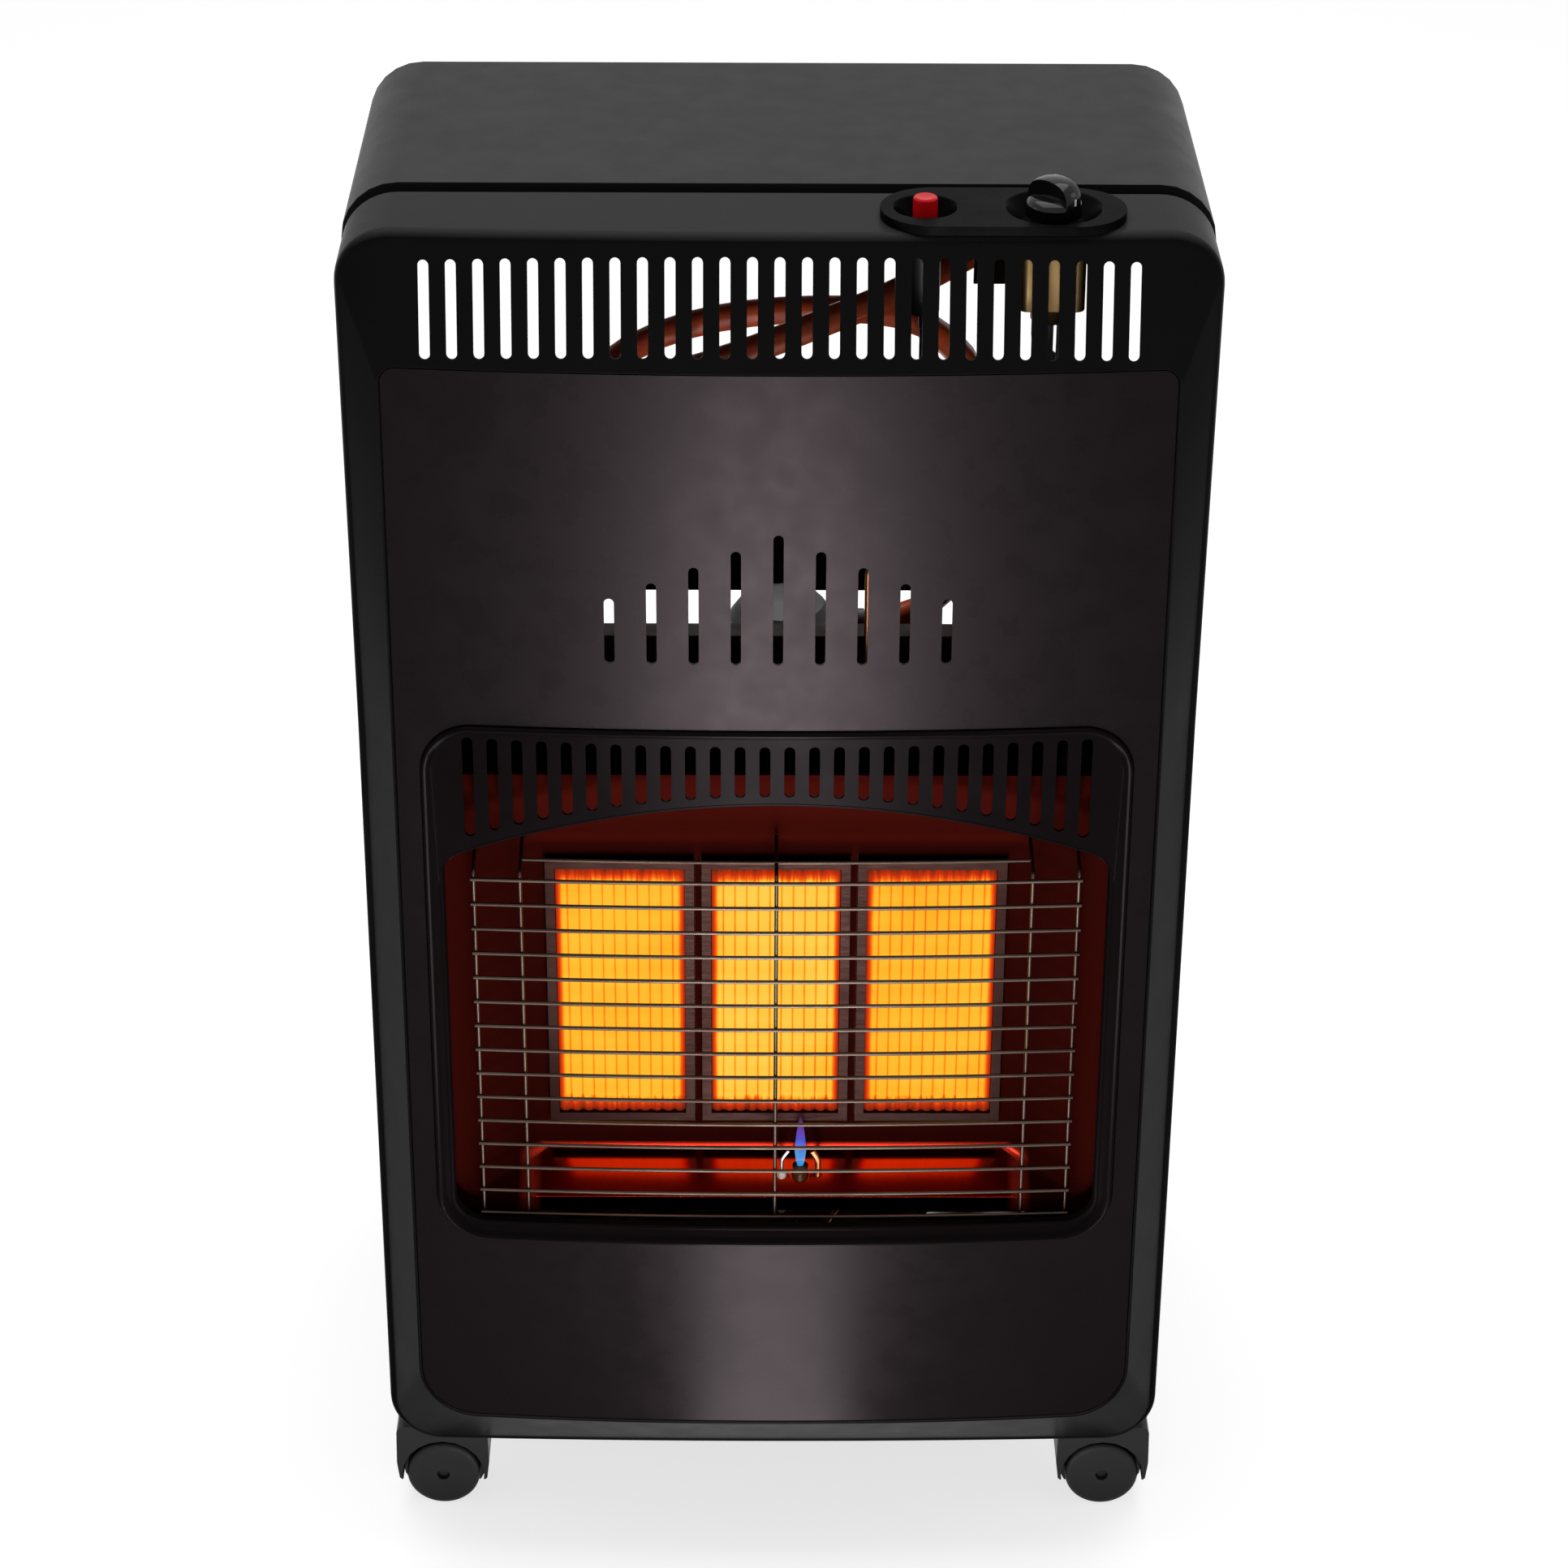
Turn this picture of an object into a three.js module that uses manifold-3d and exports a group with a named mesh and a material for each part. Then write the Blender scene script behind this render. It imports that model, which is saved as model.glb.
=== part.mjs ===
// Portable gas cabinet heater: a pressed front with a radiant burner of three ceramic plaques,
// a sheet cabinet open at the back, a bottle bay on a base tray and four swivel castors.
// Millimetres, +Z up, the front faces -Y. The floor is z = 0 and y = 0 is the bend of the front frame.
import * as THREE from 'three';
import { mergeVertices } from 'three/addons/utils/BufferGeometryUtils.js';
import Module from 'manifold-3d';

const wasm = await Module();
wasm.setup();

// ---------------------------------------------------------------- driving dimensions
const GAP = 0.3; // between pieces that touch
const SHEET = 1.2; // cabinet, tray and shields
const PRESSING = 1.5; // front frame and panel

// Overall
const WIDTH = 404; // over the cabinet sides
const HEIGHT = 738.5; // floor to cabinet top
const DEPTH = 370; // front of the bowed panel to the rear of the base
const FLOOR_Z = 53.5; // underside of frame and cabinet
const CORNER = 27; // outer corners of frame and cabinet
const STEP_IN = 1; // the frame stands inside the cabinet's outline by this much

// Front frame and panel
const BOW = 8.8; // how far the panel bulges across its width
const FACE_Y = -29.6; // panel edge, forward of the frame's bend
const RIM_Y = 33; // rear rim of the front frame
const NECK = 6; // depth of the shadow groove
const NECK_LENGTH = 29;
const BROW_RADIUS = 7;
const BEND_RADIUS = 3;
const BROW_LEAN = 17; // forward sweep of the frame's edge from mid height to the brow
const BROW_BOW = 6.4;
const SOLE_BOW = 4;
const STILE = 21; // side of the cabinet to the frame's opening
const SILL = 40; // underside to the opening
const BAND = 60.5; // slotted band between the frame's top and its opening
const PANEL_TOP_RADIUS = 7.5;
const PANEL_LOW_RADIUS = 28;
const PANEL_SET_BACK = 0.8;
const SEAT = 6; // flange that carries the panel
const SEAT_STEP = 1.4;

// Slots: the band's, the panel's fan of nine and the hood's
const TOP_SLOTS = 27;
const TOP_SLOT_MARGIN = 21.4;
const TOP_SLOT_WIDTH = 4.9;
const TOP_SLOT_LENGTH = 44;
const TOP_SLOT_RAISE = 3.2;
const TOP_SLOT_ARCH = 4;
const NINE_SLOTS = 9;
const NINE_PITCH = 19.6;
const NINE_WIDTH = 4.7;
const NINE_SHORT = 33.5;
const NINE_STEP = 8.3;
const NINE_RAISE = 35; // above the burner surround
const HOOD_SLOTS = 26;
const HOOD_MARGIN = 22.5;
const HOOD_SLOT_WIDTH = 5.2;

// Burner surround
const BURNER_LOW = 204;
const BURNER_HIGH = 496;
const BURNER_INSET = 12; // panel edge to surround
const BURNER_CORNER = 25;
const MOUTH_INSET = 8; // surround to its clear opening
const MOUTH_RAISE = 9;
const HOOD_HEIGHT = 39; // surround top to the crown of the arch
const ARCH_FALL = 31;
const LIP = 1.6; // rolled lip proud of the panel
const LIP_WIDTH = 4.5;
const RECESS = 6; // depth of the surround's inner edge

// Burner heads and plaques
const PLAQUES = 3;
const PLAQUE_PITCH = 77;
const HEAD_WIDTH = 73.4;
const HEAD_LOW = 248.5;
const HEAD_HIGH = 400;
const HEAD_FRONT_Y = 8;
const HEAD_DEPTH = 26;
const HEAD_FRAME = 4.7;
const FLANGE_CLEARANCE = 0.4; // from a head's flange to halfway to its neighbour
const HEAD_LIP = 6; // flange above and below the head
const PLAQUE_THICK = 12;
const PLAQUE_SET_BACK = 1.5;
const PLAQUE_RIBS = 11;
const RIB_PROUD = 1.2;
const VENTURI_RADIUS = 9;
const VENTURI_DROP = 58.5;

// Reflector, guard and the chamber behind them
const REFLECTOR_FRONT_Y = -14;
const REFLECTOR_BACK_Y = 13;
const REFLECTOR_MARGIN = 8.3; // round the burner heads
const REFLECTOR_DROP = 18.5;
const GUARD_WIRE = 2.6;
const GUARD_ROWS = 15;
const GUARD_SIDES = 5;
const GUARD_INSET = 13; // inside the mouth
const GUARD_RISE = 6.8; // above the burner heads
const GUARD_Y = -22;
const GUARD_BOW = 4;
const GUARD_HOOK_Y = 7;
const GUARD_REACH = 8;
const UPRIGHT_INSET = 24;
const CHAMBER_BACK_Y = 85;
const CHAMBER_DROP = 54;
const EAR = 5;

// Controls on the top
const CONTROL_Y = 4;
const KNOB = { inset: 78.5, rim: 22, well: 16, radius: 12.8, height: 18, grip: 5 };
const KNOB_PUSH = 4;
const KNOB_POINTS = 45; // degrees from the front towards the right, fully open
const BUTTON = { spacing: 58, rim: 14.5, well: 10, radius: 5.6, height: 12.5, proud: 5 };
const BEZEL = { left: 20.5, right: 33, front: 25.5, back: 24.5, rise: 4.5 };
const WELL_DEPTH = 9;
const WELL_WALL = 1.3;
const PLUNGER = 2.5;
const PLUNGER_LENGTH = 18;
const SPINDLE = 4;
const SPINDLE_DEPTH = 14; // in the valve
const SPINDLE_GRIP = 8; // in the knob
const VALVE_DROP = 49.5; // frame top to the valve's underside
const VALVE = { left: 15, right: 15, front: 13, back: 15 };
const HOSE_START = 44; // behind the valve's spindle

// Gas and ignition runs
const HOSE_RADIUS = 7;
const PIPE_RADIUS = 2.4;
const LEAD_RADIUS = 1.5;
const PILOT = { x: 13, y: -2, radius: 4 };
const PROBE = { x: 22, radius: 1.7 };
const ELECTRODE = { x: 3.6, radius: 2.6, wire: 1 };

// Cabinet, tray and bottle regulator
const NECK_GAP = 9; // shadow groove between frame and cabinet
const REAR_STEP = 119; // rear of the base to the rear of the top
const SLANT_DROP = 408.5; // cabinet top to where the side walls' rear edge turns upright again
const RAIL_DROP = 232.5;
const RAIL_HEIGHT = 50;
const RAIL_FOLD = 14;
const HEM = 12;
const TRAY_FRONT_Y = 6;
const TRAY_FLANGE = 26;
const PLATFORM = { half: 140, front: 96, rear: 8, rise: 3 };
const REGULATOR = { x: 3, ahead: 51, drop: 16, radius: 27, reach: 43 };

// Castors
const CASTOR_INSET = 38;
const CASTOR_FRONT_Y = 27;
const CASTOR_REAR = 30;
const WHEEL_RADIUS = 19.4;
const WHEEL_WIDTH = 10;
const WHEEL_ROUND = 2;
const TRAIL = 12;
const HOOD_WALL = 2.3;
const HOOD_WEB = 6;
const STEM_RADIUS = 5.5;
const STEM_RISE = 18.5;
const SOCKET_FLANGE = 15;
const SOCKET_CAP = 4;
const AXLE_RADIUS = 3;

// ---------------------------------------------------------------- what follows from them
const HALF = WIDTH / 2;
const FRAME_HALF = HALF - STEP_IN;
const FRAME_TOP = HEIGHT - STEP_IN;
const FRONT_Y = FACE_Y - BOW - LIP;
const REAR_Y = DEPTH + FRONT_Y;
const CABINET_Y = RIM_Y + NECK_GAP;
const TOP_REAR_Y = REAR_Y - REAR_STEP;
const PANEL_HALF = HALF - STILE;
const PANEL_LOW = FLOOR_Z + SILL;
const PANEL_HIGH = FRAME_TOP - BAND;
const SWEEP_Z = PANEL_HIGH - 197; // above this the frame's edge leans forward
const BURNER_HALF = PANEL_HALF - BURNER_INSET;
const MOUTH_HALF = BURNER_HALF - MOUTH_INSET;
const MOUTH_LOW = BURNER_LOW + MOUTH_RAISE;
const ARCH_CROWN = BURNER_HIGH - HOOD_HEIGHT;
const HEADS_HALF = ((PLAQUES - 1) * PLAQUE_PITCH + HEAD_WIDTH) / 2;
const REFLECTOR_BACK_HALF = HEADS_HALF + REFLECTOR_MARGIN;
const REFLECTOR_BACK_LOW = HEAD_LOW - REFLECTOR_DROP;
const REFLECTOR_BACK_HIGH = HEAD_HIGH + REFLECTOR_MARGIN;
const REFLECTOR_FRONT_HALF = MOUTH_HALF - 2.5;
const REFLECTOR_FRONT_LOW = MOUTH_LOW + 4;
const REFLECTOR_FRONT_HIGH = ARCH_CROWN - 5;
const GUARD_HALF = MOUTH_HALF - GUARD_INSET;
const GUARD_LOW = MOUTH_LOW;
const GUARD_HIGH = HEAD_HIGH + GUARD_RISE;
const CHAMBER_HALF = BURNER_HALF - 1;
const CHAMBER_LOW = BURNER_LOW - CHAMBER_DROP;
const CHAMBER_HIGH = BURNER_HIGH - 4;
const REFLECTOR_FLANGE = CHAMBER_HALF - SHEET - GAP - REFLECTOR_FRONT_HALF;
const VENTURI_LOW = HEAD_LOW - VENTURI_DROP;
const KNOB_X = HALF - KNOB.inset;
const BUTTON_X = KNOB_X - BUTTON.spacing;
const BEZEL_LOW = FRAME_TOP + GAP;
const BEZEL_TOP = FRAME_TOP + BEZEL.rise;
const WELL_FLOOR = BEZEL_TOP - WELL_DEPTH;
const PLATE_TOP = WELL_FLOOR - PRESSING - GAP;
const PLATE_LOW = PLATE_TOP - PRESSING;
const VALVE_TOP = PLATE_LOW - GAP;
const VALVE_LOW = FRAME_TOP - VALVE_DROP;
const INLET_Z = VALVE_LOW + 12;
const KNOB_LOW = WELL_FLOOR + KNOB_PUSH + 1;
const RAIL_HIGH = HEIGHT - RAIL_DROP;
const RAIL_LOW = RAIL_HIGH - RAIL_HEIGHT;
const REGULATOR_Y = TOP_REAR_Y - REGULATOR.ahead;
const REGULATOR_LOW = RAIL_LOW - REGULATOR.drop;
const TRAY_TOP = FLOOR_Z - GAP;
const TRAY_LOW = TRAY_TOP - SHEET;
const CASTOR_X = HALF - CASTOR_INSET;
const CASTORS = [
  ['front_left', -1, CASTOR_FRONT_Y], ['front_right', 1, CASTOR_FRONT_Y],
  ['rear_left', -1, REAR_Y - CASTOR_REAR], ['rear_right', 1, REAR_Y - CASTOR_REAR],
];
const ARCH_RADIUS = WHEEL_RADIUS + 2.5;
const HOOD_TOP = FLOOR_Z - 2.5;
const STEM_TOP = FLOOR_Z + STEM_RISE;
const SOCKET_TOP = STEM_TOP + SOCKET_CAP;

// ---------------------------------------------------------------- finishes
const finish = (color, roughness, metalness) =>
  new THREE.MeshStandardMaterial({ color, roughness, metalness });
const CHARCOAL = () => finish(0x414141, 0.5, 0.1);
const ANTHRACITE = () => finish(0x3b3032, 0.35, 0.3);
const BLACK = () => finish(0x0c0c0d, 0.35, 0);
const GALVANISED = () => finish(0xa9adb0, 0.4, 0.9);
const BRIGHT = () => finish(0xb8a8a2, 0.25, 1);
const WIRE = () => finish(0x9c8f88, 0.35, 0.9);
const CERAMIC = () => finish(0xffb02a, 0.9, 0);
const BRASS = () => finish(0xb08a45, 0.35, 1);
const RED = () => finish(0xc00010, 0.35, 0);
const ORANGE = () => finish(0xd9481c, 0.6, 0);
const WHITE = () => finish(0xe9e6df, 0.5, 0);
const GREY = () => finish(0x6f7274, 0.45, 0.4);

// ---------------------------------------------------------------- solids
function solid(geometry) {
  const bare = geometry.index ? geometry.clone() : geometry;
  bare.deleteAttribute('normal');
  bare.deleteAttribute('uv');
  const merged = mergeVertices(bare, 1e-4);
  const points = merged.attributes.position;
  const triVerts = Uint32Array.from(merged.index.array);
  const corners = [new THREE.Vector3(), new THREE.Vector3(), new THREE.Vector3()];
  let volume = 0;
  for (let i = 0; i < triVerts.length; i += 3) {
    corners.forEach((corner, k) => corner.fromBufferAttribute(points, triVerts[i + k]));
    volume += corners[0].dot(corners[1].cross(corners[2]));
  }
  if (volume < 0) triVerts.reverse();
  const vertProperties = Float32Array.from(points.array);
  return new wasm.Manifold(new wasm.Mesh({ numProp: 3, vertProperties, triVerts }));
}

const join = (first, ...rest) => rest.reduce((sum, next) => sum.add(next), first);
const cut = (body, ...cutters) => cutters.reduce((rest, next) => rest.subtract(next), body);

function geometryOf(manifold) {
  const mesh = manifold.getMesh();
  const geometry = new THREE.BufferGeometry();
  geometry.setAttribute('position', new THREE.BufferAttribute(mesh.vertProperties, 3));
  geometry.setIndex(new THREE.BufferAttribute(mesh.triVerts, 1));
  geometry.computeVertexNormals();
  return geometry;
}

const heater = new THREE.Group();

function part(name, body, material) {
  const mesh = new THREE.Mesh(geometryOf(body), material);
  mesh.name = name;
  heater.add(mesh);
  return mesh;
}

function extruded(shape, depth, segments) {
  return new THREE.ExtrudeGeometry(shape, { depth, bevelEnabled: false, curveSegments: segments });
}

// A profile in x and z, drawn out along y.
function alongY(shape, from, to, segments = 6) {
  const geometry = extruded(shape, to - from, segments);
  geometry.rotateX(Math.PI / 2).translate(0, to, 0);
  return solid(geometry);
}

// A profile in y and z, drawn out along x.
function alongX(shape, from, to, segments = 6) {
  const turn = new THREE.Matrix4();
  turn.makeBasis(new THREE.Vector3(0, 1, 0), new THREE.Vector3(0, 0, 1), new THREE.Vector3(1, 0, 0));
  const geometry = extruded(shape, to - from, segments);
  geometry.applyMatrix4(turn).translate(from, 0, 0);
  return solid(geometry);
}

// A profile in x and y, drawn out along z.
function alongZ(shape, from, to, segments = 6) {
  return solid(extruded(shape, to - from, segments).translate(0, 0, from));
}

function polygon(points) {
  return new THREE.Shape(points.map(([x, y]) => new THREE.Vector2(x, y)));
}

function block(x0, x1, y0, y1, z0, z1) {
  const geometry = new THREE.BoxGeometry(x1 - x0, y1 - y0, z1 - z0);
  return solid(geometry.translate((x0 + x1) / 2, (y0 + y1) / 2, (z0 + z1) / 2));
}

function roundedShape(x0, x1, y0, y1, radius) {
  const shape = new THREE.Shape();
  shape.moveTo(x0 + radius, y0);
  shape.lineTo(x1 - radius, y0);
  shape.absarc(x1 - radius, y0 + radius, radius, -Math.PI / 2, 0);
  shape.lineTo(x1, y1 - radius);
  shape.absarc(x1 - radius, y1 - radius, radius, 0, Math.PI / 2);
  shape.lineTo(x0 + radius, y1);
  shape.absarc(x0 + radius, y1 - radius, radius, Math.PI / 2, Math.PI);
  shape.lineTo(x0, y0 + radius);
  shape.absarc(x0 + radius, y0 + radius, radius, Math.PI, Math.PI * 1.5);
  return shape;
}

// A profile of [radius, height] pairs turned about the z axis at x, y.
function turned(profile, x, y, sides = 24) {
  const points = profile.map(([radius, height]) => new THREE.Vector2(radius, height));
  const geometry = new THREE.LatheGeometry(points, sides);
  return solid(geometry.rotateX(Math.PI / 2).translate(x, y, 0));
}

function rod(radius, from, to, x, y, sides = 16) {
  return turned([[0, from], [radius, from], [radius, to], [0, to]], x, y, sides);
}

// The same, lying along y from one place to the next at x, z.
function lying(profile, x, z, sides = 24) {
  const points = profile.map(([radius, height]) => new THREE.Vector2(radius, height));
  return solid(new THREE.LatheGeometry(points, sides).translate(x, 0, z));
}

// A regular polygon with a flat side towards +y and -y.
function circle(radius, sides) {
  const points = [];
  for (let i = 0; i < sides; i += 1) {
    const angle = ((i + 0.5) / sides) * Math.PI * 2;
    points.push([Math.cos(angle) * radius, Math.sin(angle) * radius]);
  }
  return polygon(points);
}

function tube(curve, radius, steps, sides = 8) {
  const options = { steps, bevelEnabled: false, extrudePath: curve };
  return solid(new THREE.ExtrudeGeometry(circle(radius, sides), options));
}

// Straight runs between points with rounded corners. The rings of a tube along it sit at its nodes.
class BentPath extends THREE.Curve {
  constructor(points, radius) {
    super();
    this.nodes = [points[0]];
    for (let i = 1; i < points.length - 1; i += 1) {
      const into = points[i].clone().sub(points[i - 1]).normalize();
      const out = points[i + 1].clone().sub(points[i]).normalize();
      const before = points[i].clone().addScaledVector(into, -radius);
      const after = points[i].clone().addScaledVector(out, radius);
      const corner = new THREE.QuadraticBezierCurve3(before, points[i], after);
      this.nodes.push(...corner.getPoints(2));
    }
    this.nodes.push(points[points.length - 1]);
  }

  get steps() {
    return this.nodes.length - 1;
  }

  getPointAt(share) {
    return this.nodes[Math.round(share * this.steps)].clone();
  }

  getTangentAt(share) {
    const i = Math.round(share * this.steps);
    const here = this.nodes[i];
    const tangent = new THREE.Vector3();
    if (i > 0) tangent.add(here.clone().sub(this.nodes[i - 1]).normalize());
    if (i < this.steps) tangent.add(this.nodes[i + 1].clone().sub(here).normalize());
    return tangent.normalize();
  }
}

const at = (x, y, z) => new THREE.Vector3(x, y, z);

// ---------------------------------------------------------------- rounded outlines and lofts
const EDGE_STEPS = 8;
const SLOT_CHORDS = 2;
const SIDE_STEPS = 4;
const CORNER_STEPS = 4;

function outline(half, low, high, lowRadius, highRadius = lowRadius) {
  const points = [];
  const run = (x0, z0, x1, z1, steps) => {
    for (let i = 0; i < steps; i += 1) {
      const t = i / steps;
      points.push([x0 + (x1 - x0) * t, z0 + (z1 - z0) * t]);
    }
  };
  const turn = (x, z, radius, from) => {
    for (let i = 0; i < CORNER_STEPS; i += 1) {
      const angle = from + (i / CORNER_STEPS) * (Math.PI / 2);
      points.push([x + Math.cos(angle) * radius, z + Math.sin(angle) * radius]);
    }
  };
  run(-half + lowRadius, low, half - lowRadius, low, EDGE_STEPS);
  turn(half - lowRadius, low + lowRadius, lowRadius, -Math.PI / 2);
  run(half, low + lowRadius, half, high - highRadius, SIDE_STEPS);
  turn(half - highRadius, high - highRadius, highRadius, 0);
  run(half - highRadius, high, -half + highRadius, high, EDGE_STEPS);
  turn(-half + highRadius, high - highRadius, highRadius, Math.PI / 2);
  run(-half, high - highRadius, -half, low + lowRadius, SIDE_STEPS);
  turn(-half + lowRadius, low + lowRadius, lowRadius, Math.PI);
  return points;
}

const lift = (points, depthAt) => points.map(([x, z]) => at(x, depthAt(x, z), z));

// Skins a closed chain of equal rings; the last ring joins the first.
function loft(rings) {
  const count = rings[0].length;
  const positions = rings.flat().flatMap((point) => point.toArray());
  const index = [];
  rings.forEach((ring, r) => {
    const next = (r + 1) % rings.length;
    for (let i = 0; i < count; i += 1) {
      const j = (i + 1) % count;
      index.push(r * count + i, r * count + j, next * count + j);
      index.push(r * count + i, next * count + j, next * count + i);
    }
  });
  const geometry = new THREE.BufferGeometry();
  geometry.setAttribute('position', new THREE.BufferAttribute(new Float32Array(positions), 3));
  geometry.setIndex(index);
  return solid(geometry);
}

// ---------------------------------------------------------------- the front's surfaces
const bulge = (x, half) => 1 - (x / half) ** 2;
const faceY = (x) => FACE_Y - BOW * bulge(x, PANEL_HALF);
const rise = (z) => Math.max(0, (z - SWEEP_Z) / (FRAME_TOP - SWEEP_Z));

function bendY(x, z) {
  const bow = z > SWEEP_Z ? BROW_BOW : SOLE_BOW;
  return -BROW_LEAN * rise(z) - bow * bulge(x, FRAME_HALF);
}

// One ring of the frame's skin: rolled is how far round the edge, from 0 to 1.
function bendRing(inset, rolled, thickness) {
  const side = inset + BEND_RADIUS * rolled;
  const brow = inset + BROW_RADIUS * rolled;
  const low = Math.max(CORNER - side, 2);
  const high = Math.max(CORNER - brow, 2);
  const points = outline(FRAME_HALF - side, FLOOR_Z + side, FRAME_TOP - brow, low, high);
  return lift(points, (x, z) => {
    const radius = z > SWEEP_Z ? BEND_RADIUS + (BROW_RADIUS - BEND_RADIUS) * rise(z) : BEND_RADIUS;
    return bendY(x, z) + radius * (1 - rolled) ** 2 + thickness;
  });
}

const openingRing = (grow, back) =>
  lift(
    outline(
      PANEL_HALF + grow,
      PANEL_LOW - grow,
      PANEL_HIGH + grow,
      PANEL_LOW_RADIUS + grow,
      PANEL_TOP_RADIUS + Math.max(grow, -4),
    ),
    (x) => faceY(Math.min(Math.abs(x), PANEL_HALF)) + back,
  );

function neckRing(inset, y) {
  const points = outline(FRAME_HALF - inset, FLOOR_Z + inset, FRAME_TOP - inset, CORNER - inset);
  return lift(points, () => y);
}

// A slot whose ends are rounded by SLOT_CHORDS chords each.
function slot(x, low, high, width) {
  const radius = width / 2;
  const points = [];
  const end = (z, from) => {
    for (let i = 0; i <= SLOT_CHORDS; i += 1) {
      const angle = from + (i / SLOT_CHORDS) * Math.PI;
      points.push([x + radius * Math.cos(angle), z + radius * Math.sin(angle)]);
    }
  };
  end(high - radius, 0);
  end(low + radius, Math.PI);
  return polygon(points);
}

function slotRow(count, pitch, width, lowAt, highAt, from, to) {
  const cutters = [];
  for (let i = 0; i < count; i += 1) {
    const x = (i - (count - 1) / 2) * pitch;
    cutters.push(alongY(slot(x, lowAt(x), highAt(x), width), from, to));
  }
  return cutters;
}

const SLOT_LOW = PANEL_HIGH + TOP_SLOT_RAISE;
const pitchOf = (half, count) => (2 * half) / (count - 1);

function frontFrame() {
  const skin = loft([
    neckRing(0, RIM_Y),
    bendRing(0, 0, 0),
    bendRing(0, 0.45, 0),
    bendRing(0, 1, 0),
    openingRing(0, 0),
    openingRing(0, PRESSING + SEAT_STEP),
    openingRing(-SEAT, PRESSING + SEAT_STEP),
    openingRing(-SEAT, PRESSING * 2 + SEAT_STEP),
    openingRing(PRESSING, PRESSING * 2 + SEAT_STEP),
    openingRing(PRESSING, PRESSING),
    bendRing(PRESSING, 1, PRESSING * 0.6),
    bendRing(PRESSING, 0.45, PRESSING * 0.6),
    bendRing(PRESSING, 0, PRESSING),
    neckRing(PRESSING, RIM_Y - PRESSING),
    neckRing(NECK + PRESSING, RIM_Y - PRESSING),
    neckRing(NECK + PRESSING, RIM_Y + NECK_LENGTH),
    neckRing(NECK, RIM_Y + NECK_LENGTH),
    neckRing(NECK, RIM_Y),
  ]);
  const lowAt = (x) => SLOT_LOW + TOP_SLOT_ARCH * bulge(x, PANEL_HALF);
  const highAt = (x) => lowAt(x) + TOP_SLOT_LENGTH;
  const slots = slotRow(
    TOP_SLOTS, pitchOf(PANEL_HALF - TOP_SLOT_MARGIN, TOP_SLOTS), TOP_SLOT_WIDTH,
    lowAt, highAt, FRONT_Y - 20, RIM_Y - 12,
  );
  const wells = [[KNOB_X, KNOB], [BUTTON_X, BUTTON]].map(([x, { rim, well }]) =>
    rod(cupRadius(rim, well, BEZEL_LOW) + 0.5, FRAME_TOP - 9, FRAME_TOP + 9, x, CONTROL_Y, 28));
  const sockets = [-1, 1].map((side) =>
    rod(SOCKET_FLANGE + 1, FLOOR_Z - 9, SOCKET_TOP + 2, side * CASTOR_X, CASTOR_FRONT_Y));
  return cut(skin, ...slots, ...wells, ...sockets);
}

// A sheet that follows the bowed face, from one depth behind it to another.
function bowedSheet(half, low, high, front, back) {
  const steps = 24;
  const near = [];
  const far = [];
  for (let i = 0; i <= steps; i += 1) {
    const x = -half + (2 * half * i) / steps;
    const y = faceY(x);
    near.push([x, y + front]);
    far.unshift([x, y + back]);
  }
  return alongZ(polygon([...near, ...far]), low, high);
}

const SURROUND_BACK = PANEL_SET_BACK + PRESSING + GAP;
const burnerOutline = (grow) =>
  outline(BURNER_HALF + grow, BURNER_LOW - grow, BURNER_HIGH + grow, BURNER_CORNER + grow);

function frontPanel() {
  const inset = 0.5;
  const face = outline(
    PANEL_HALF - inset,
    PANEL_LOW + inset,
    PANEL_HIGH - inset,
    PANEL_LOW_RADIUS - inset,
    PANEL_TOP_RADIUS - inset,
  );
  const sheet = bowedSheet(
    PANEL_HALF, PANEL_LOW, PANEL_HIGH, PANEL_SET_BACK, PANEL_SET_BACK + PRESSING,
  );
  const plate = sheet.intersect(alongY(polygon(face), -80, 0));
  const opening = alongY(polygon(burnerOutline(GAP + 0.1)), -80, 0);
  const lowAt = () => BURNER_HIGH + NINE_RAISE;
  const highAt = (x) => {
    const fromEnd = (NINE_SLOTS - 1) / 2 - Math.abs(x) / NINE_PITCH;
    return lowAt() + NINE_SHORT + NINE_STEP * fromEnd;
  };
  const slots = slotRow(NINE_SLOTS, NINE_PITCH, NINE_WIDTH, lowAt, highAt, -80, 0);
  return cut(plate, opening, ...slots);
}

// ---------------------------------------------------------------- burner surround and hood
const archZ = (x) => ARCH_CROWN - ARCH_FALL * (x / (MOUTH_HALF - 6)) ** 2;

function mouthOutline(grow) {
  const high = ARCH_CROWN;
  const points = outline(MOUTH_HALF - grow, MOUTH_LOW + grow, high, 16, 12);
  return points.map(([x, z]) => {
    const top = archZ(Math.min(Math.abs(x), MOUTH_HALF)) + grow;
    const share = (z - MOUTH_LOW - grow) / (high - MOUTH_LOW - grow);
    return [x, MOUTH_LOW + grow + share * (top - MOUTH_LOW - grow)];
  });
}

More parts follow.
